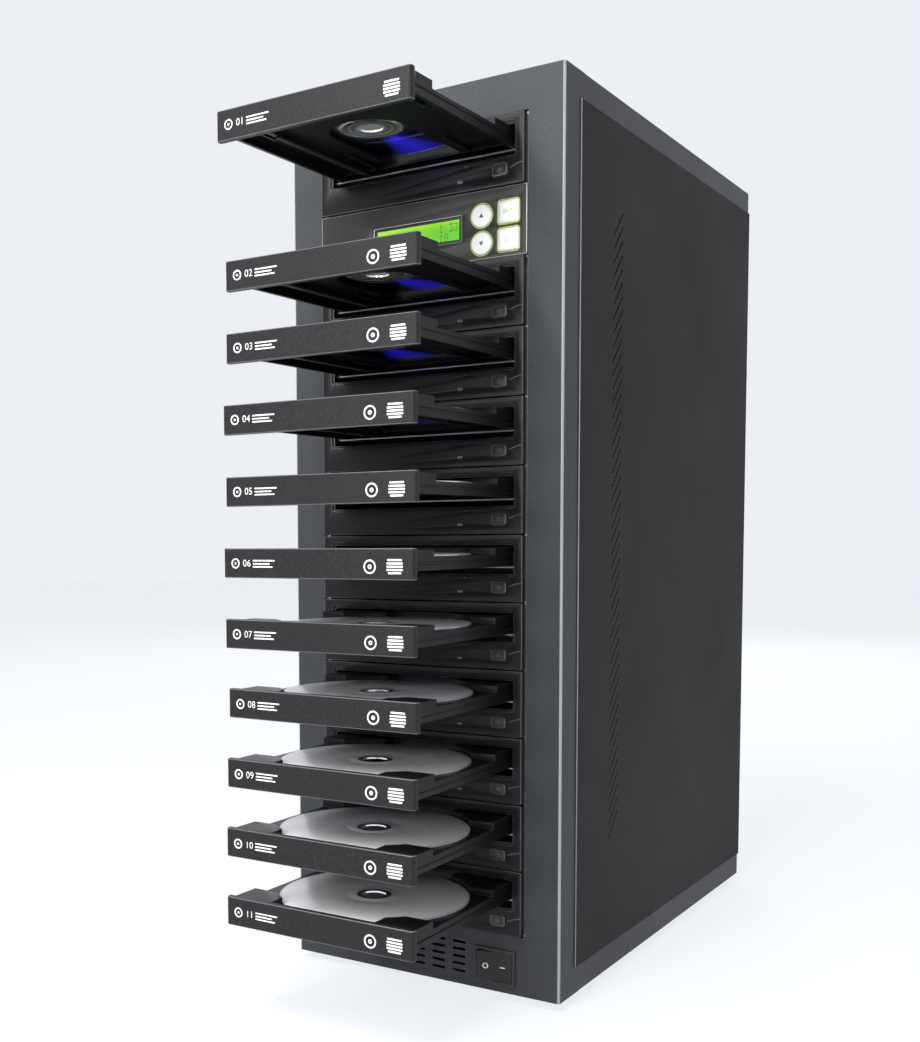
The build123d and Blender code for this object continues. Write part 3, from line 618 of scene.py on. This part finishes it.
def meshOfLoops(curve, loops, cyclic=True):
    for points in loops:
        spline = curve.splines.new("POLY")
        spline.points.add(len(points) - 1)
        for point, place in zip(spline.points, points):
            point.co = (*scaled(*place), 1)
        spline.use_cyclic_u = cyclic
    return meshOfCurve(curve)


def faceFront(mesh, middleY):
    # stand a mesh that was drawn in X and Y upright, so that it looks out of the front
    mesh.transform(Matrix(((1, 0, 0, 0), (0, 0, -1, middleY * mm), (0, 1, 0, 0), (0, 0, 0, 1))))
    return mesh


def roundedBox(middleX, middleZ, width, height, radius, steps=5):
    outline = []
    for quarter, (sx, sz) in enumerate(((1, 1), (-1, 1), (-1, -1), (1, -1))):
        cx, cz = middleX + sx * (width / 2 - radius), middleZ + sz * (height / 2 - radius)
        for step in range(steps + 1):
            turn = math.radians(90 * quarter + 90 * step / steps)
            outline.append((cx + radius * math.cos(turn), cz + radius * math.sin(turn)))
    return outline


def roundOutline(middleX, middleZ, radius, steps=48):
    turns = [math.tau * step / steps for step in range(steps)]
    return [(middleX + radius * math.cos(turn), middleZ + radius * math.sin(turn)) for turn in turns]


def plateMesh(outlines, frontY, thickness, bevel=0.0):
    # closed plate that looks out of the front: the first outline is its rim and the rest are holes
    curve = bpy.data.curves.new("plate", "CURVE")
    curve.dimensions = "2D"
    curve.fill_mode = "BOTH"
    curve.extrude = (thickness / 2 - bevel) * mm
    curve.bevel_depth = bevel * mm
    curve.bevel_resolution = 1
    curve.offset = -bevel * mm
    rim, *holes = outlines
    loops = [[(x, z, 0) for x, z in outline] for outline in (rim, *(hole[::-1] for hole in holes))]
    return faceFront(meshOfLoops(curve, loops), frontY + thickness / 2)


def ringPlate(x, z, outer, inner, frontY, thickness, steps=32):
    return plateMesh([roundOutline(x, z, radius, steps) for radius in (outer, inner)], frontY, thickness)


def edgeFaces(mesh, materialNumber=1):
    # give a plate's front bevels a lighter look of their own, a painted highlight
    for face in mesh.polygons:
        if -edgeLimits["flat"] < face.normal.y < -edgeLimits["slope"]:
            face.material_index = materialNumber
    return mesh


def wireMesh(points, radius):
    curve = bpy.data.curves.new("wire", "CURVE")
    curve.dimensions = "3D"
    curve.bevel_depth = radius * mm
    curve.bevel_resolution = 2
    curve.use_fill_caps = True
    return meshOfLoops(curve, [points], cyclic=False)


letterShare = 0.73  # height of the built-in letters as a share of their size


def textMesh(words, height, x, z, frontY, thickness):
    curve = bpy.data.curves.new("legend", "FONT")
    curve.body = words
    curve.size = height / letterShare * mm
    curve.align_x = "CENTER"
    curve.align_y = "CENTER"
    curve.extrude = thickness / 2 * mm
    curve.resolution_u = 3
    mesh = meshOfCurve(curve)
    mesh.transform(Matrix.Translation(scaled(x, z, 0)))
    return faceFront(mesh, frontY + thickness / 2)


def latheMesh(profile, middle, steps):
    # closed ring turned about an upright axis: the profile runs round the section
    work = bmesh.new()
    rows = []
    for step in range(steps):
        turn = math.tau * step / steps
        rows.append([work.verts.new((middle[0] + r * math.cos(turn) * mm, middle[1] + r * math.sin(turn) * mm,
                                     middle[2] + z * mm)) for r, z in profile])
    for step in range(steps):
        here, there = rows[step], rows[(step + 1) % steps]
        for at in range(len(profile)):
            after = (at + 1) % len(profile)
            work.faces.new((here[at], there[at], there[after], here[after]))
    bmesh.ops.recalc_face_normals(work, faces=work.faces)
    return work


def boxMesh(low, high):
    # block between two corners
    work = bmesh.new()
    bmesh.ops.create_cube(work, size=1)
    for vertex in work.verts:
        for axis in range(3):
            vertex.co[axis] = (low[axis] if vertex.co[axis] < 0 else high[axis]) * mm
    return finishMesh(work, "block")


# ---- Geometry Nodes trees for what repeats
def newTree(name, inputs):
    tree = bpy.data.node_groups.new(name, "GeometryNodeTree")
    addSockets(tree, "INPUT", {**inputs, "Material": "Material"})
    addSockets(tree, "OUTPUT", {"Mesh": "Geometry"})
    return tree, tree.nodes.new("NodeGroupInput").outputs


def endTree(tree, given, points, instance, rotation=(0.0, 0.0, 0.0)):
    # the instance at every point, made real and given its material
    place = addNode(tree, "GeometryNodeInstanceOnPoints", {
        "Points": points, "Instance": instance, "Rotation": rotation})
    realize = addNode(tree, "GeometryNodeRealizeInstances", {0: place.outputs[0]})
    coat = addNode(tree, "GeometryNodeSetMaterial", {"Geometry": realize.outputs[0], "Material": given["Material"]})
    addNode(tree, "NodeGroupOutput", {"Mesh": coat.outputs[0]})
    return tree


def makeRowTree():
    # blocks in a straight row, such as teeth
    tree, given = newTree("rowOfBlocks", {
        "Count": 10, "Start": (0.0, 0.0, 0.0), "Step": (0.0, 0.002, 0.0), "Size": (0.004, 0.001, 0.001)})
    line = addNode(tree, "GeometryNodeMeshLine", {
        "Count": given["Count"], "Start Location": given["Start"], "Offset": given["Step"]})
    block = addNode(tree, "GeometryNodeMeshCube", {"Size": given["Size"]})
    return endTree(tree, given, line.outputs[0], block.outputs["Mesh"])


def makeRingTree():
    # blocks in a ring about the line that runs front to back, such as knurls
    tree, given = newTree("ringOfBlocks", {
        "Count": 24, "Radius": 0.005, "Middle": (0.0, 0.0, 0.0), "Size": (0.0006, 0.005, 0.0006)})
    ring = addNode(tree, "GeometryNodeMeshCircle", {"Vertices": given["Count"], "Radius": given["Radius"]})
    stand = addNode(tree, "GeometryNodeTransform", {
        "Geometry": ring.outputs[0], "Rotation": (math.radians(90), 0, 0), "Translation": given["Middle"]})
    block = addNode(tree, "GeometryNodeMeshCube", {"Size": given["Size"]})
    share = mathNode(tree, "DIVIDE", tree.nodes.new("GeometryNodeInputIndex").outputs[0], given["Count"])
    turn = addNode(tree, "ShaderNodeCombineXYZ", {"Y": mathNode(tree, "MULTIPLY", share, -math.tau)})
    return endTree(tree, given, stand.outputs[0], block.outputs["Mesh"], turn.outputs[0])


def makeScrewTree():
    # one screw at every point of the mesh that carries the modifier, each turned by its own seeded amount
    tree, given = newTree("screwField", {"Points": "Geometry", "Screw": "Object", "Seed": 4})
    screw = addNode(tree, "GeometryNodeObjectInfo", {"Object": given["Screw"]})
    chance = addNode(tree, "FunctionNodeRandomValue", {"Seed": given["Seed"]})
    turn = addNode(tree, "ShaderNodeCombineXYZ", {"Y": mathNode(tree, "MULTIPLY", chance.outputs[1], math.tau)})
    return endTree(tree, given, given["Points"], screw.outputs["Geometry"], turn.outputs[0])


rowTree = makeRowTree()
ringTree = makeRingTree()
screwTree = makeScrewTree()


def runTree(tree, name, lookName, points=(), **values):
    # plain mesh out of a tree: the modifier's inputs are set by their identifiers
    mesh = bpy.data.meshes.new(name)
    mesh.from_pydata([Vector(point) * mm for point in points], [], [])
    holder = bpy.data.objects.new(name, mesh)
    scene.collection.objects.link(holder)
    modifier = holder.modifiers.new("maker", "NODES")
    modifier.node_group = tree
    values["Material"] = looks[lookName]
    for item in tree.interface.items_tree:
        if item.in_out == "INPUT" and item.name in values:
            modifier[item.identifier] = values[item.name]
    made = bpy.data.meshes.new_from_object(holder.evaluated_get(bpy.context.evaluated_depsgraph_get()))
    holder.modifiers.remove(modifier)
    bpy.data.objects.remove(holder)
    return made


print("helpers and trees ready")


# ---- sheet steel case and its feet
caseSetup = {
    # piece: node, look, slot, width of the edges and, where they have one, their own lighter look, a painted highlight
    "frontPanel": ("front_panel", "casePaint", "case_paint", 0.7, "caseEdge"),
    "topCover": ("top_cover", "casePaint", "case_paint", 0.4),
    "basePan": ("base_pan", "casePaint", "case_paint", 0.4),
    "rearPanel": ("rear_panel", "casePaint", "case_paint", 0.3),
    "leftSidePanel": ("left_side_panel", "panelPaint", "panel_paint", 0.5, "caseEdge"),
    "rightSidePanel": ("right_side_panel", "panelPaint", "panel_paint", 0.5, "caseEdge"),
    "rubberFeet": ("feet", "footRubber", "foot_rubber", 0.8),
}
for pieceName, row in caseSetup.items():
    refineNode(pieceName, "case", *row)
print("case dressed")


# ---- drive bezels: a proud surround, a stepped mouth and the small openings below it
bezelSetup = {
    "rim": (0.0, -21.5, 148.5, 42.0, 0.8), "bevel": 0.25, "front": -3.0, "stepDepth": 1.2, "depth": 6.0,
    "step": (1.0, -15.65, 137.0, 21.9, 2.6), "mouth": (1.0, -15.9, 133.8, 18.6, 1.0),
    "eject": (58.5, -33.5, 10.7, 7.7, 2.0), "light": (30.7, -36.5, 3.2, 1.4, 0.4, 3),
    "pinhole": (35.2, -28.2, 0.65, 16),
    "swoosh": ((65.2, -32.9), (66.8, -32.4), (69.5, -31.4), (72.3, -30.7), (74.0, -30.6)), "swooshRadius": 0.22,
}


def makeBezels():
    setup = bezelSetup
    small = [roundedBox(*setup["eject"]), roundedBox(*setup["light"]), roundOutline(*setup["pinhole"])]
    front = faceY + setup["front"]
    back = front + setup["stepDepth"]
    layers = (("step", front, setup["stepDepth"]), ("mouth", back, setup["depth"] - setup["stepDepth"]))
    # the front bevels and the swoosh take the lighter edge look: a painted highlight
    parts = [(edgeFaces(plateMesh([roundedBox(*setup["rim"]), roundedBox(*setup[opening]), *small], y, depth,
                                  setup["bevel"])), None) for opening, y, depth in layers]
    parts.append((wireMesh([(x, front, z) for x, z in setup["swoosh"]], setup["swooshRadius"]), 1))
    bezels = [(gatherMeshes("bezel", parts, bayTops[number]), None) for number in driveNumbers]
    fixPiece(gatherPiece("driveBezels", bezels, "bezelPlastic", "bezelEdge"), "case", "bezel_plastic", "drive_bezels")


makeBezels()
print("bezels made")


# ---- eject buttons with a faint mark: an arrow over a bar
ejectSetup = {
    "outline": (58.5, -33.5, 10.2, 7.2, 1.8), "front": -4.0, "depth": 5.7, "bevel": 0.6,
    "mark": (58.5, -33.4), "halfMark": 1.6, "arrowTall": 1.7, "bar": (-1.1, -0.6), "proud": 0.05, "thickness": 0.2,
}


def makeEjectButtons():
    setup = ejectSetup
    x, z = setup["mark"]
    left, right = x - setup["halfMark"], x + setup["halfMark"]
    low, high = (z + down for down in setup["bar"])
    front = faceY + setup["front"]
    # the button's front bevels take the lighter edge look: a painted highlight
    body = edgeFaces(plateMesh([roundedBox(*setup["outline"])], front, setup["depth"], setup["bevel"]), 2)
    marks = ([(left, z), (right, z), (x, z + setup["arrowTall"])],
             [(left, low), (right, low), (right, high), (left, high)])
    items = [(body, None)]
    items += [(plateMesh([mark], front - setup["proud"], setup["thickness"]), 1) for mark in marks]
    for number in driveNumbers:
        label = f"{number:02d}"
        piece = gatherPiece(f"ejectButton_{label}", items, "ejectPlastic", "faintPrint", "bezelEdge",
                            lift=bayTops[number])
        fixPiece(piece, f"eject_{label}", "bezel_plastic", f"eject_button_{label}")


makeEjectButtons()
print("eject buttons made")


# ---- trays: door, moulding, underside ribs, rack teeth and white door marks
traySetup = {
    "doorEdge": 0.5, "mouldingEdge": 0.3, "underEdge": (0.15, 1, 50), "middleX": 1.0, "floorBottom": -15.0,
    "ribHalf": 61.9, "ribTall": 1.8, "ribRoot": 0.3, "ribThick": 1.4, "crossRibs": (9.0, 131.0, 146.0),
    "longRibs": ((34, 97, 146), (52, 9, 40)),  # from the middle, then start and end behind the door's front
    "rackX": -43.0, "rackBottom": -18.0, "toothDown": 0.35, "toothStart": 32.0, "toothPitch": 2.2, "toothCount": 56,
    "toothSize": (4.0, 1.1, 0.9),
}
markSetup = {
    "proud": 0.07, "thickness": 0.2,
    "ring": (-56.2, -16.0, 3.1, 2.2), "ringDot": (-56.2, -16.0, 0.8, 16), "number": (4.4, -47.6, -16.0),
    "bars": ((-35.0, -14.3, 16.4, 0.9), (-36.9, -16.2, 12.6, 0.9), (-35.8, -18.0, 14.8, 0.9),
             (55.4, -13.6, 9.6, 1.15), (55.4, -15.5, 10.6, 1.15), (55.4, -17.3, 10.6, 1.15), (55.4, -19.1, 10.6, 1.15),
             (55.4, -20.9, 8.6, 1.15)),
    "barCorner": (0.4, 2), "disc": (39.1, -17.4, 4.1, 3.1), "discHub": ((39.1, -17.4, 1.3, 20), (39.1, -17.4, 0.5, 12)),
}


def makeMarks(number):
    setup = markSetup
    depth = (doorFronts[number] - setup["proud"], setup["thickness"])
    marks = [ringPlate(*setup["ring"], *depth), plateMesh([roundOutline(*setup["ringDot"])], *depth),
             textMesh(f"{number:02d}", *setup["number"], *depth)]
    marks += [plateMesh([roundedBox(*bar, *setup["barCorner"])], *depth) for bar in setup["bars"]]
    if number > 1:  # the first drive's door has no disc sign
        marks.append(ringPlate(*setup["disc"], *depth))
        marks.append(plateMesh([roundOutline(*circle) for circle in setup["discHub"]], *depth))
    return [(mark, 0) for mark in marks]


def makeUnderside(number):
    setup = traySetup
    front, middle, half = doorFronts[number], setup["middleX"], setup["ribThick"] / 2
    under = bayTops[number] + setup["floorBottom"]
    low, high = under - setup["ribTall"], under + setup["ribRoot"]
    ribs = [boxMesh((middle - setup["ribHalf"], front + y, low),
                    (middle + setup["ribHalf"], front + y + setup["ribThick"], high)) for y in setup["crossRibs"]]
    for side in (-1, 1):
        for away, start, end in setup["longRibs"]:
            x = middle + side * away
            ribs.append(boxMesh((x - half, front + start, low), (x + half, front + end, high)))
    rack = (setup["rackX"], front + setup["toothStart"], bayTops[number] + setup["rackBottom"] - setup["toothDown"])
    teeth = runTree(rowTree, f"rackTeeth_{number:02d}", "trayPlastic", Count=setup["toothCount"], Start=scaled(*rack),
                    Step=scaled(0, setup["toothPitch"], 0), Size=scaled(*setup["toothSize"]))
    return [(mesh, 0) for mesh in (*ribs, teeth)]


def makeTrays():
    setup = traySetup
    for number in driveNumbers:
        label = f"{number:02d}"
        body, node = f"tray_unit_{label}", f"tray_{label}"
        door, moulding = nodeIslands(node)
        piece = newPiece(f"trayDoor_{label}", finishMesh(door, f"trayDoor_{label}"), "doorPlastic", "bezelEdge")
        # the door's bevels take the lighter edge look: a painted highlight
        addBevel(piece, setup["doorEdge"]).material = 1
        fixPiece(piece, body, "tray_plastic", node)
        piece = newPiece(f"trayMoulding_{label}", finishMesh(moulding, f"trayMoulding_{label}"), "trayPlastic")
        addBevel(piece, setup["mouldingEdge"])
        fixPiece(piece, body, "tray_plastic", node)
        piece = gatherPiece(f"trayUnder_{label}", makeUnderside(number), "trayPlastic")
        addBevel(piece, *setup["underEdge"])
        fixPiece(piece, body, "tray_plastic")
        piece = gatherPiece(f"doorMarks_{label}", makeMarks(number), "whitePrint", lift=bayTops[number])
        fixPiece(piece, body, "key_plastic")


makeTrays()
print("trays made")


# ---- discs: silver face, moulded rim painted pale as a highlight, dyed underside with painted light fans and its
# stacking ring
discSetup = {
    "mapRadius": 60.0, "seat": -12.4, "middleX": 1.0, "back": 66.4, "steps": 128,
    "rimFrom": 59, "rimSpan": 0.5, "faceFrom": 0.9, "smoothAngle": 40,
    "turns": (0.0, 0.02, -0.03, 0.05, 0.3, 0.45, 0.1, 0.62, 0.8, 0.25, 0.55),
    "profile": ((7.5, 1.0), (7.7, 1.2), (16.4, 1.2), (16.7, 1.12), (17.6, 1.12), (17.9, 1.2), (59.6, 1.2), (60.0, 0.95),
                (60.0, 0.25), (59.7, 0.0), (22.0, 0.0), (18.3, 0.0), (18.0, -0.22), (16.9, -0.22), (16.6, 0.0),
                (7.7, 0.0), (7.5, 0.2)),
}


def makeDiscs():
    setup = discSetup
    for number, share in zip(driveNumbers, setup["turns"]):
        name = f"discPlate_{number:02d}"
        middle = Vector(scaled(setup["middleX"], doorFronts[number] + setup["back"], bayTops[number] + setup["seat"]))
        work = latheMesh(setup["profile"], middle, setup["steps"])
        layer = work.loops.layers.uv.new("discMap")
        for face in work.faces:
            heights = [(vertex.co.z - middle.z) / mm for vertex in face.verts]
            reach = [(vertex.co - middle).xy.length / mm for vertex in face.verts]
            if max(reach) - min(reach) < setup["rimSpan"] and min(reach) > setup["rimFrom"]:
                face.material_index = 2
            else:
                face.material_index = 0 if min(heights) > setup["faceFrom"] else 1
            for loop in face.loops:
                away = (loop.vert.co - middle).xy / (2 * setup["mapRadius"] * mm)
                away.rotate(Matrix.Rotation(share * math.tau, 2))
                loop[layer].uv = (0.5 + away.x, 0.5 + away.y)
        piece = newPiece(name, finishMesh(work, name, setup["smoothAngle"]), "discTop", "discUnder", "discRim")
        fixPiece(piece, f"tray_unit_{number:02d}", "disc_silver", f"disc_{number:02d}")


makeDiscs()
print("discs made")


# ---- controller panel, display and keys
panelSetup = {
    "rim": (0.1, -21.5, 151.4, 42.4, 0.9), "front": -1.0, "depth": 3.0, "bevel": 0.35,
    "window": (-1.6, -21.65, 64.5, 16.1, 0.4), "ringProud": 0.05, "ringThickness": 0.2,
}
keySetup = {
    "roundKeys": {"up": (45.0, -15.9, 1.5), "down": (45.0, -32.9, -1.5)},  # the last number is the arrow's rise
    "roundHole": 7.25, "roundRadius": 7.0, "roundRing": (7.9, 7.3), "arrowHalf": 1.5, "arrowFoot": 0.7,
    "squareKeys": {"enter": (63.4, -15.6, "ENT", "limePrint"), "escape": (63.4, -32.5, "ESC", "greyPrint")},
    "squareHole": (14.3, 1.7), "squareSize": (13.8, 1.5), "squareRing": ((15.5, 2.2), (14.5, 1.8)),
    "edgeLine": ((12.2, 1.0), (11.5, 0.8)), "edgeProud": 0.04, "wordTall": 2.6, "proud": 0.06, "thickness": 0.2,
    "front": -1.8, "depth": 3.8, "bevel": 0.7,
}
displaySetup = {
    "frame": (-1.6, -21.65, 63.9, 15.5, 0.4), "frameDepth": (-0.4, 1.2, 0.15),
    "glass": (-1.6, -21.65, 60.6, 12.6, 0.4), "glassDepth": (-0.05, 0.6),
    "rows": ((-19.7, ((15.6, "1"), (22.8, "3"), (26.4, "3"))), (-25.6, ((4.8, "0"), (15.6, "1"), (19.2, "8")))),
    "dot": (0.46, 0.60), "dotDepth": (-0.09, 0.1), "pitch": (0.59, 0.743),
    "columnsLeft": 2.5, "rise": 2.6,  # from a character's middle to its left side and its top
}
digitDots = {  # 5 by 7 dots, as a character display draws them
    "0": ("01110", "10001", "10011", "10101", "11001", "10001", "01110"),
    "1": ("00100", "01100", "00100", "00100", "00100", "00100", "01110"),
    "3": ("11111", "00010", "00100", "00010", "00001", "10001", "01110"),
    "8": ("01110", "10001", "10001", "01110", "10001", "10001", "01110"),
}
controllerTop = bayTops[1] - bayPitch


def squareOutline(x, z, size, corner):
    return roundedBox(x, z, size, size, corner)


def makePanel():
    setup = panelSetup
    rounds = [place[:2] for place in keySetup["roundKeys"].values()]
    squares = [place[:2] for place in keySetup["squareKeys"].values()]
    holes = [roundedBox(*setup["window"]), *(roundOutline(*place, keySetup["roundHole"]) for place in rounds),
             *(squareOutline(*place, *keySetup["squareHole"]) for place in squares)]
    front = faceY + setup["front"]
    plate = plateMesh([roundedBox(*setup["rim"]), *holes], front, setup["depth"], setup["bevel"])
    outlines = [[roundOutline(*place, radius) for radius in keySetup["roundRing"]] for place in rounds]
    outlines += [[squareOutline(*place, *ring) for ring in keySetup["squareRing"]] for place in squares]
    # the plate's front bevels take the pale edge look: a painted highlight, partly its bare silver metal
    items = [(edgeFaces(plate, 2), None)]
    items += [(plateMesh(pair, front - setup["ringProud"], setup["ringThickness"]), 1) for pair in outlines]
    piece = gatherPiece("controllerFace", items, "gunmetal", "limePrint", "panelEdge", lift=controllerTop)
    fixPiece(piece, "case", "gunmetal", "controller_panel")


def makeKey(key, outline, printLook, marks):
    setup = keySetup
    body = plateMesh([outline], faceY + setup["front"], setup["depth"], setup["bevel"])
    items = [(body, 0), *((mark, 1) for mark in marks)]
    piece = gatherPiece(f"{key}Key", items, "keyPlastic", printLook, lift=controllerTop)
    fixPiece(piece, f"{key}_key", "key_plastic", f"{key}_button")


def makeKeys():
    setup = keySetup
    front = faceY + setup["front"]
    signDepth = (front - setup["proud"], setup["thickness"])
    for key, (x, z, rise) in setup["roundKeys"].items():
        foot = z - rise * setup["arrowFoot"]
        corners = [(x - setup["arrowHalf"], foot), (x, z + rise), (x + setup["arrowHalf"], foot)]
        arrow = plateMesh([corners if rise > 0 else corners[::-1]], *signDepth)
        makeKey(key, roundOutline(x, z, setup["roundRadius"]), "greenPrint", [arrow])
    for key, (x, z, words, printLook) in setup["squareKeys"].items():
        line = plateMesh([squareOutline(x, z, *size) for size in setup["edgeLine"]], front - setup["edgeProud"],
                         setup["thickness"])
        words = textMesh(words, setup["wordTall"], x, z, *signDepth)
        makeKey(key, squareOutline(x, z, *setup["squareSize"]), printLook, [words, line])


def makeDisplay():
    setup = displaySetup
    frameFront, *frameDepth = setup["frameDepth"]
    glassFront, glassThick = setup["glassDepth"]
    frame = plateMesh([roundedBox(*setup["frame"]), roundedBox(*setup["glass"])], faceY + frameFront, *frameDepth)
    items = [(frame, 0), (plateMesh([roundedBox(*setup["glass"])], faceY + glassFront, glassThick), 1)]
    near, far = (faceY + away for away in setup["dotDepth"])
    wide, tall = setup["dot"]
    lit = [(x, z, column, row) for z, characters in setup["rows"] for x, character in characters
           for row, line in enumerate(digitDots[character]) for column, dot in enumerate(line) if dot == "1"]
    for x, z, column, row in lit:
        left = x + (column - setup["columnsLeft"]) * setup["pitch"][0]
        high = z + setup["rise"] - row * setup["pitch"][1]
        items.append((boxMesh((left, near, high - tall), (left + wide, far, high)), 2))
    piece = gatherPiece("displayWindow", items, "switchPlastic", "displayGreen", "greenPrint", lift=controllerTop)
    fixPiece(piece, "case", "display_glass")


makePanel()
makeKeys()
makeDisplay()
print("controller made")


# ---- power switch
switchSetup = {
    "edge": 0.5, "middle": (55.0, 22.7), "ring": (-5.6, 1.9, 1.2), "bar": (5.8, 3.6, 0.8, 0.2, 2), "thickness": 0.3,
    "markFront": -8, "probe": 30, "proud": 0.08,
}


def layOn(mesh, target):
    # push a flat mark back onto the sloping face behind it
    surface = BVHTree.FromPolygons([v.co for v in target.data.vertices], [p.vertices for p in target.data.polygons])
    flat = min(vertex.co.y for vertex in mesh.vertices)
    for vertex in mesh.vertices:
        origin = Vector((vertex.co.x, flat - switchSetup["probe"] * mm, vertex.co.z))
        place = surface.ray_cast(origin, Vector((0, 1, 0)))[0]
        vertex.co.y += place.y - flat - switchSetup["proud"] * mm
    return mesh


def makeSwitch():
    setup = switchSetup
    refineNode("switchHousing", "case", "power_switch_housing", "switchPlastic", "switch_plastic", setup["edge"])
    refineNode("switchRocker", "rocker", "power_rocker", "rockerPlastic", "switch_plastic", setup["edge"])
    x, z = setup["middle"]
    depth = (faceY + setup["markFront"], setup["thickness"])
    away, *radii = setup["ring"]
    ring = ringPlate(x + away, z, *radii, *depth)
    away, *size = setup["bar"]
    bar = plateMesh([roundedBox(x + away, z, *size)], *depth)
    marks = [(layOn(mark, nodes["power_rocker"]), 0) for mark in (ring, bar)]
    fixPiece(gatherPiece("switchMarks", marks, "whitePrint"), "rocker", "key_plastic")


makeSwitch()
print("switch made")


# ---- rear: thumbscrews with knurls, and the screws
rearSetup = {
    "thumbScrewX": 95, "thumbScrewZ": (156, 436), "thumbScrewEdge": 0.3,
    "knurlCount": 28, "knurlSize": (0.5, 3.6, 0.5), "knurlInset": 2.4, "screwY": 250.5,
    "screwPlaces": ((-52.5, 483.5), (52.5, 483.5), (-52.5, 378.5), (52.5, 378.5), (-69, 13), (69, 13),
                    (-69, 87), (25, 87), (-95, 300), (95, 300), (-60, 579), (60, 579)),
}
screwSetup = {
    "profile": ((0.4, -0.6), (3.1, -0.6), (3.1, 0.3), (2.7, 1.1), (1.7, 1.6), (0.4, 1.7)), "steps": 20,
    "crossLength": 1.5, "crossWidth": 0.3, "crossHeights": (1.2, 1.72),
}


def makeScrew():
    # pan head with a raised cross, looking out of the back
    setup = screwSetup
    head = finishMesh(latheMesh(setup["profile"], (0, 0, 0), setup["steps"]), "screwHead")
    long, wide = setup["crossLength"], setup["crossWidth"]
    low, high = setup["crossHeights"]
    cross = [boxMesh((-x, -y, low), (x, y, high)) for x, y in ((long, wide), (wide, long))]
    whole = gatherMeshes("screw", [(mesh, 0) for mesh in (head, *cross)])
    whole.transform(Matrix(((1, 0, 0, 0), (0, 0, 1, 0), (0, -1, 0, 0), (0, 0, 0, 1))))
    return bpy.data.objects.new("screw", whole)


def makeRear():
    setup = rearSetup
    refineNode("thumbScrews", "case", "thumbscrews", "screwSteel", "screw_steel", setup["thumbScrewEdge"])
    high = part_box("thumbscrews")[1]
    middles = [scaled(x, high.y / mm - setup["knurlInset"], z) for x in (-setup["thumbScrewX"], setup["thumbScrewX"])
               for z in setup["thumbScrewZ"]]
    knurls = [(runTree(ringTree, "knurls", "screwSteel", Count=setup["knurlCount"], Middle=middle,
                       Radius=(high.x / mm - setup["thumbScrewX"]) * mm, Size=scaled(*setup["knurlSize"])), 0)
              for middle in middles]
    fixPiece(gatherPiece("thumbScrewKnurls", knurls, "screwSteel"), "case", "screw_steel")
    screw = makeScrew()
    places = [(x, setup["screwY"], z) for x, z in setup["screwPlaces"]]
    heads = runTree(screwTree, "rearScrews", "screwSteel", places, Screw=screw, Seed=4)
    fixPiece(gatherPiece("rearScrews", [(heads, 0)], "screwSteel"), "case", "screw_steel")
    bpy.data.objects.remove(screw)


makeRear()
print("rear dressed")


# ---- floor
floorReach = 6


def makeFloor():
    mesh = bpy.data.meshes.new("floor")
    corners = [(x * floorReach, y * floorReach, 0) for x, y in ((-1, -1), (1, -1), (1, 1), (-1, 1))]
    mesh.from_pydata(corners, [], [(0, 1, 2, 3)])
    newPiece("floor", mesh, "paleFloor")


makeFloor()
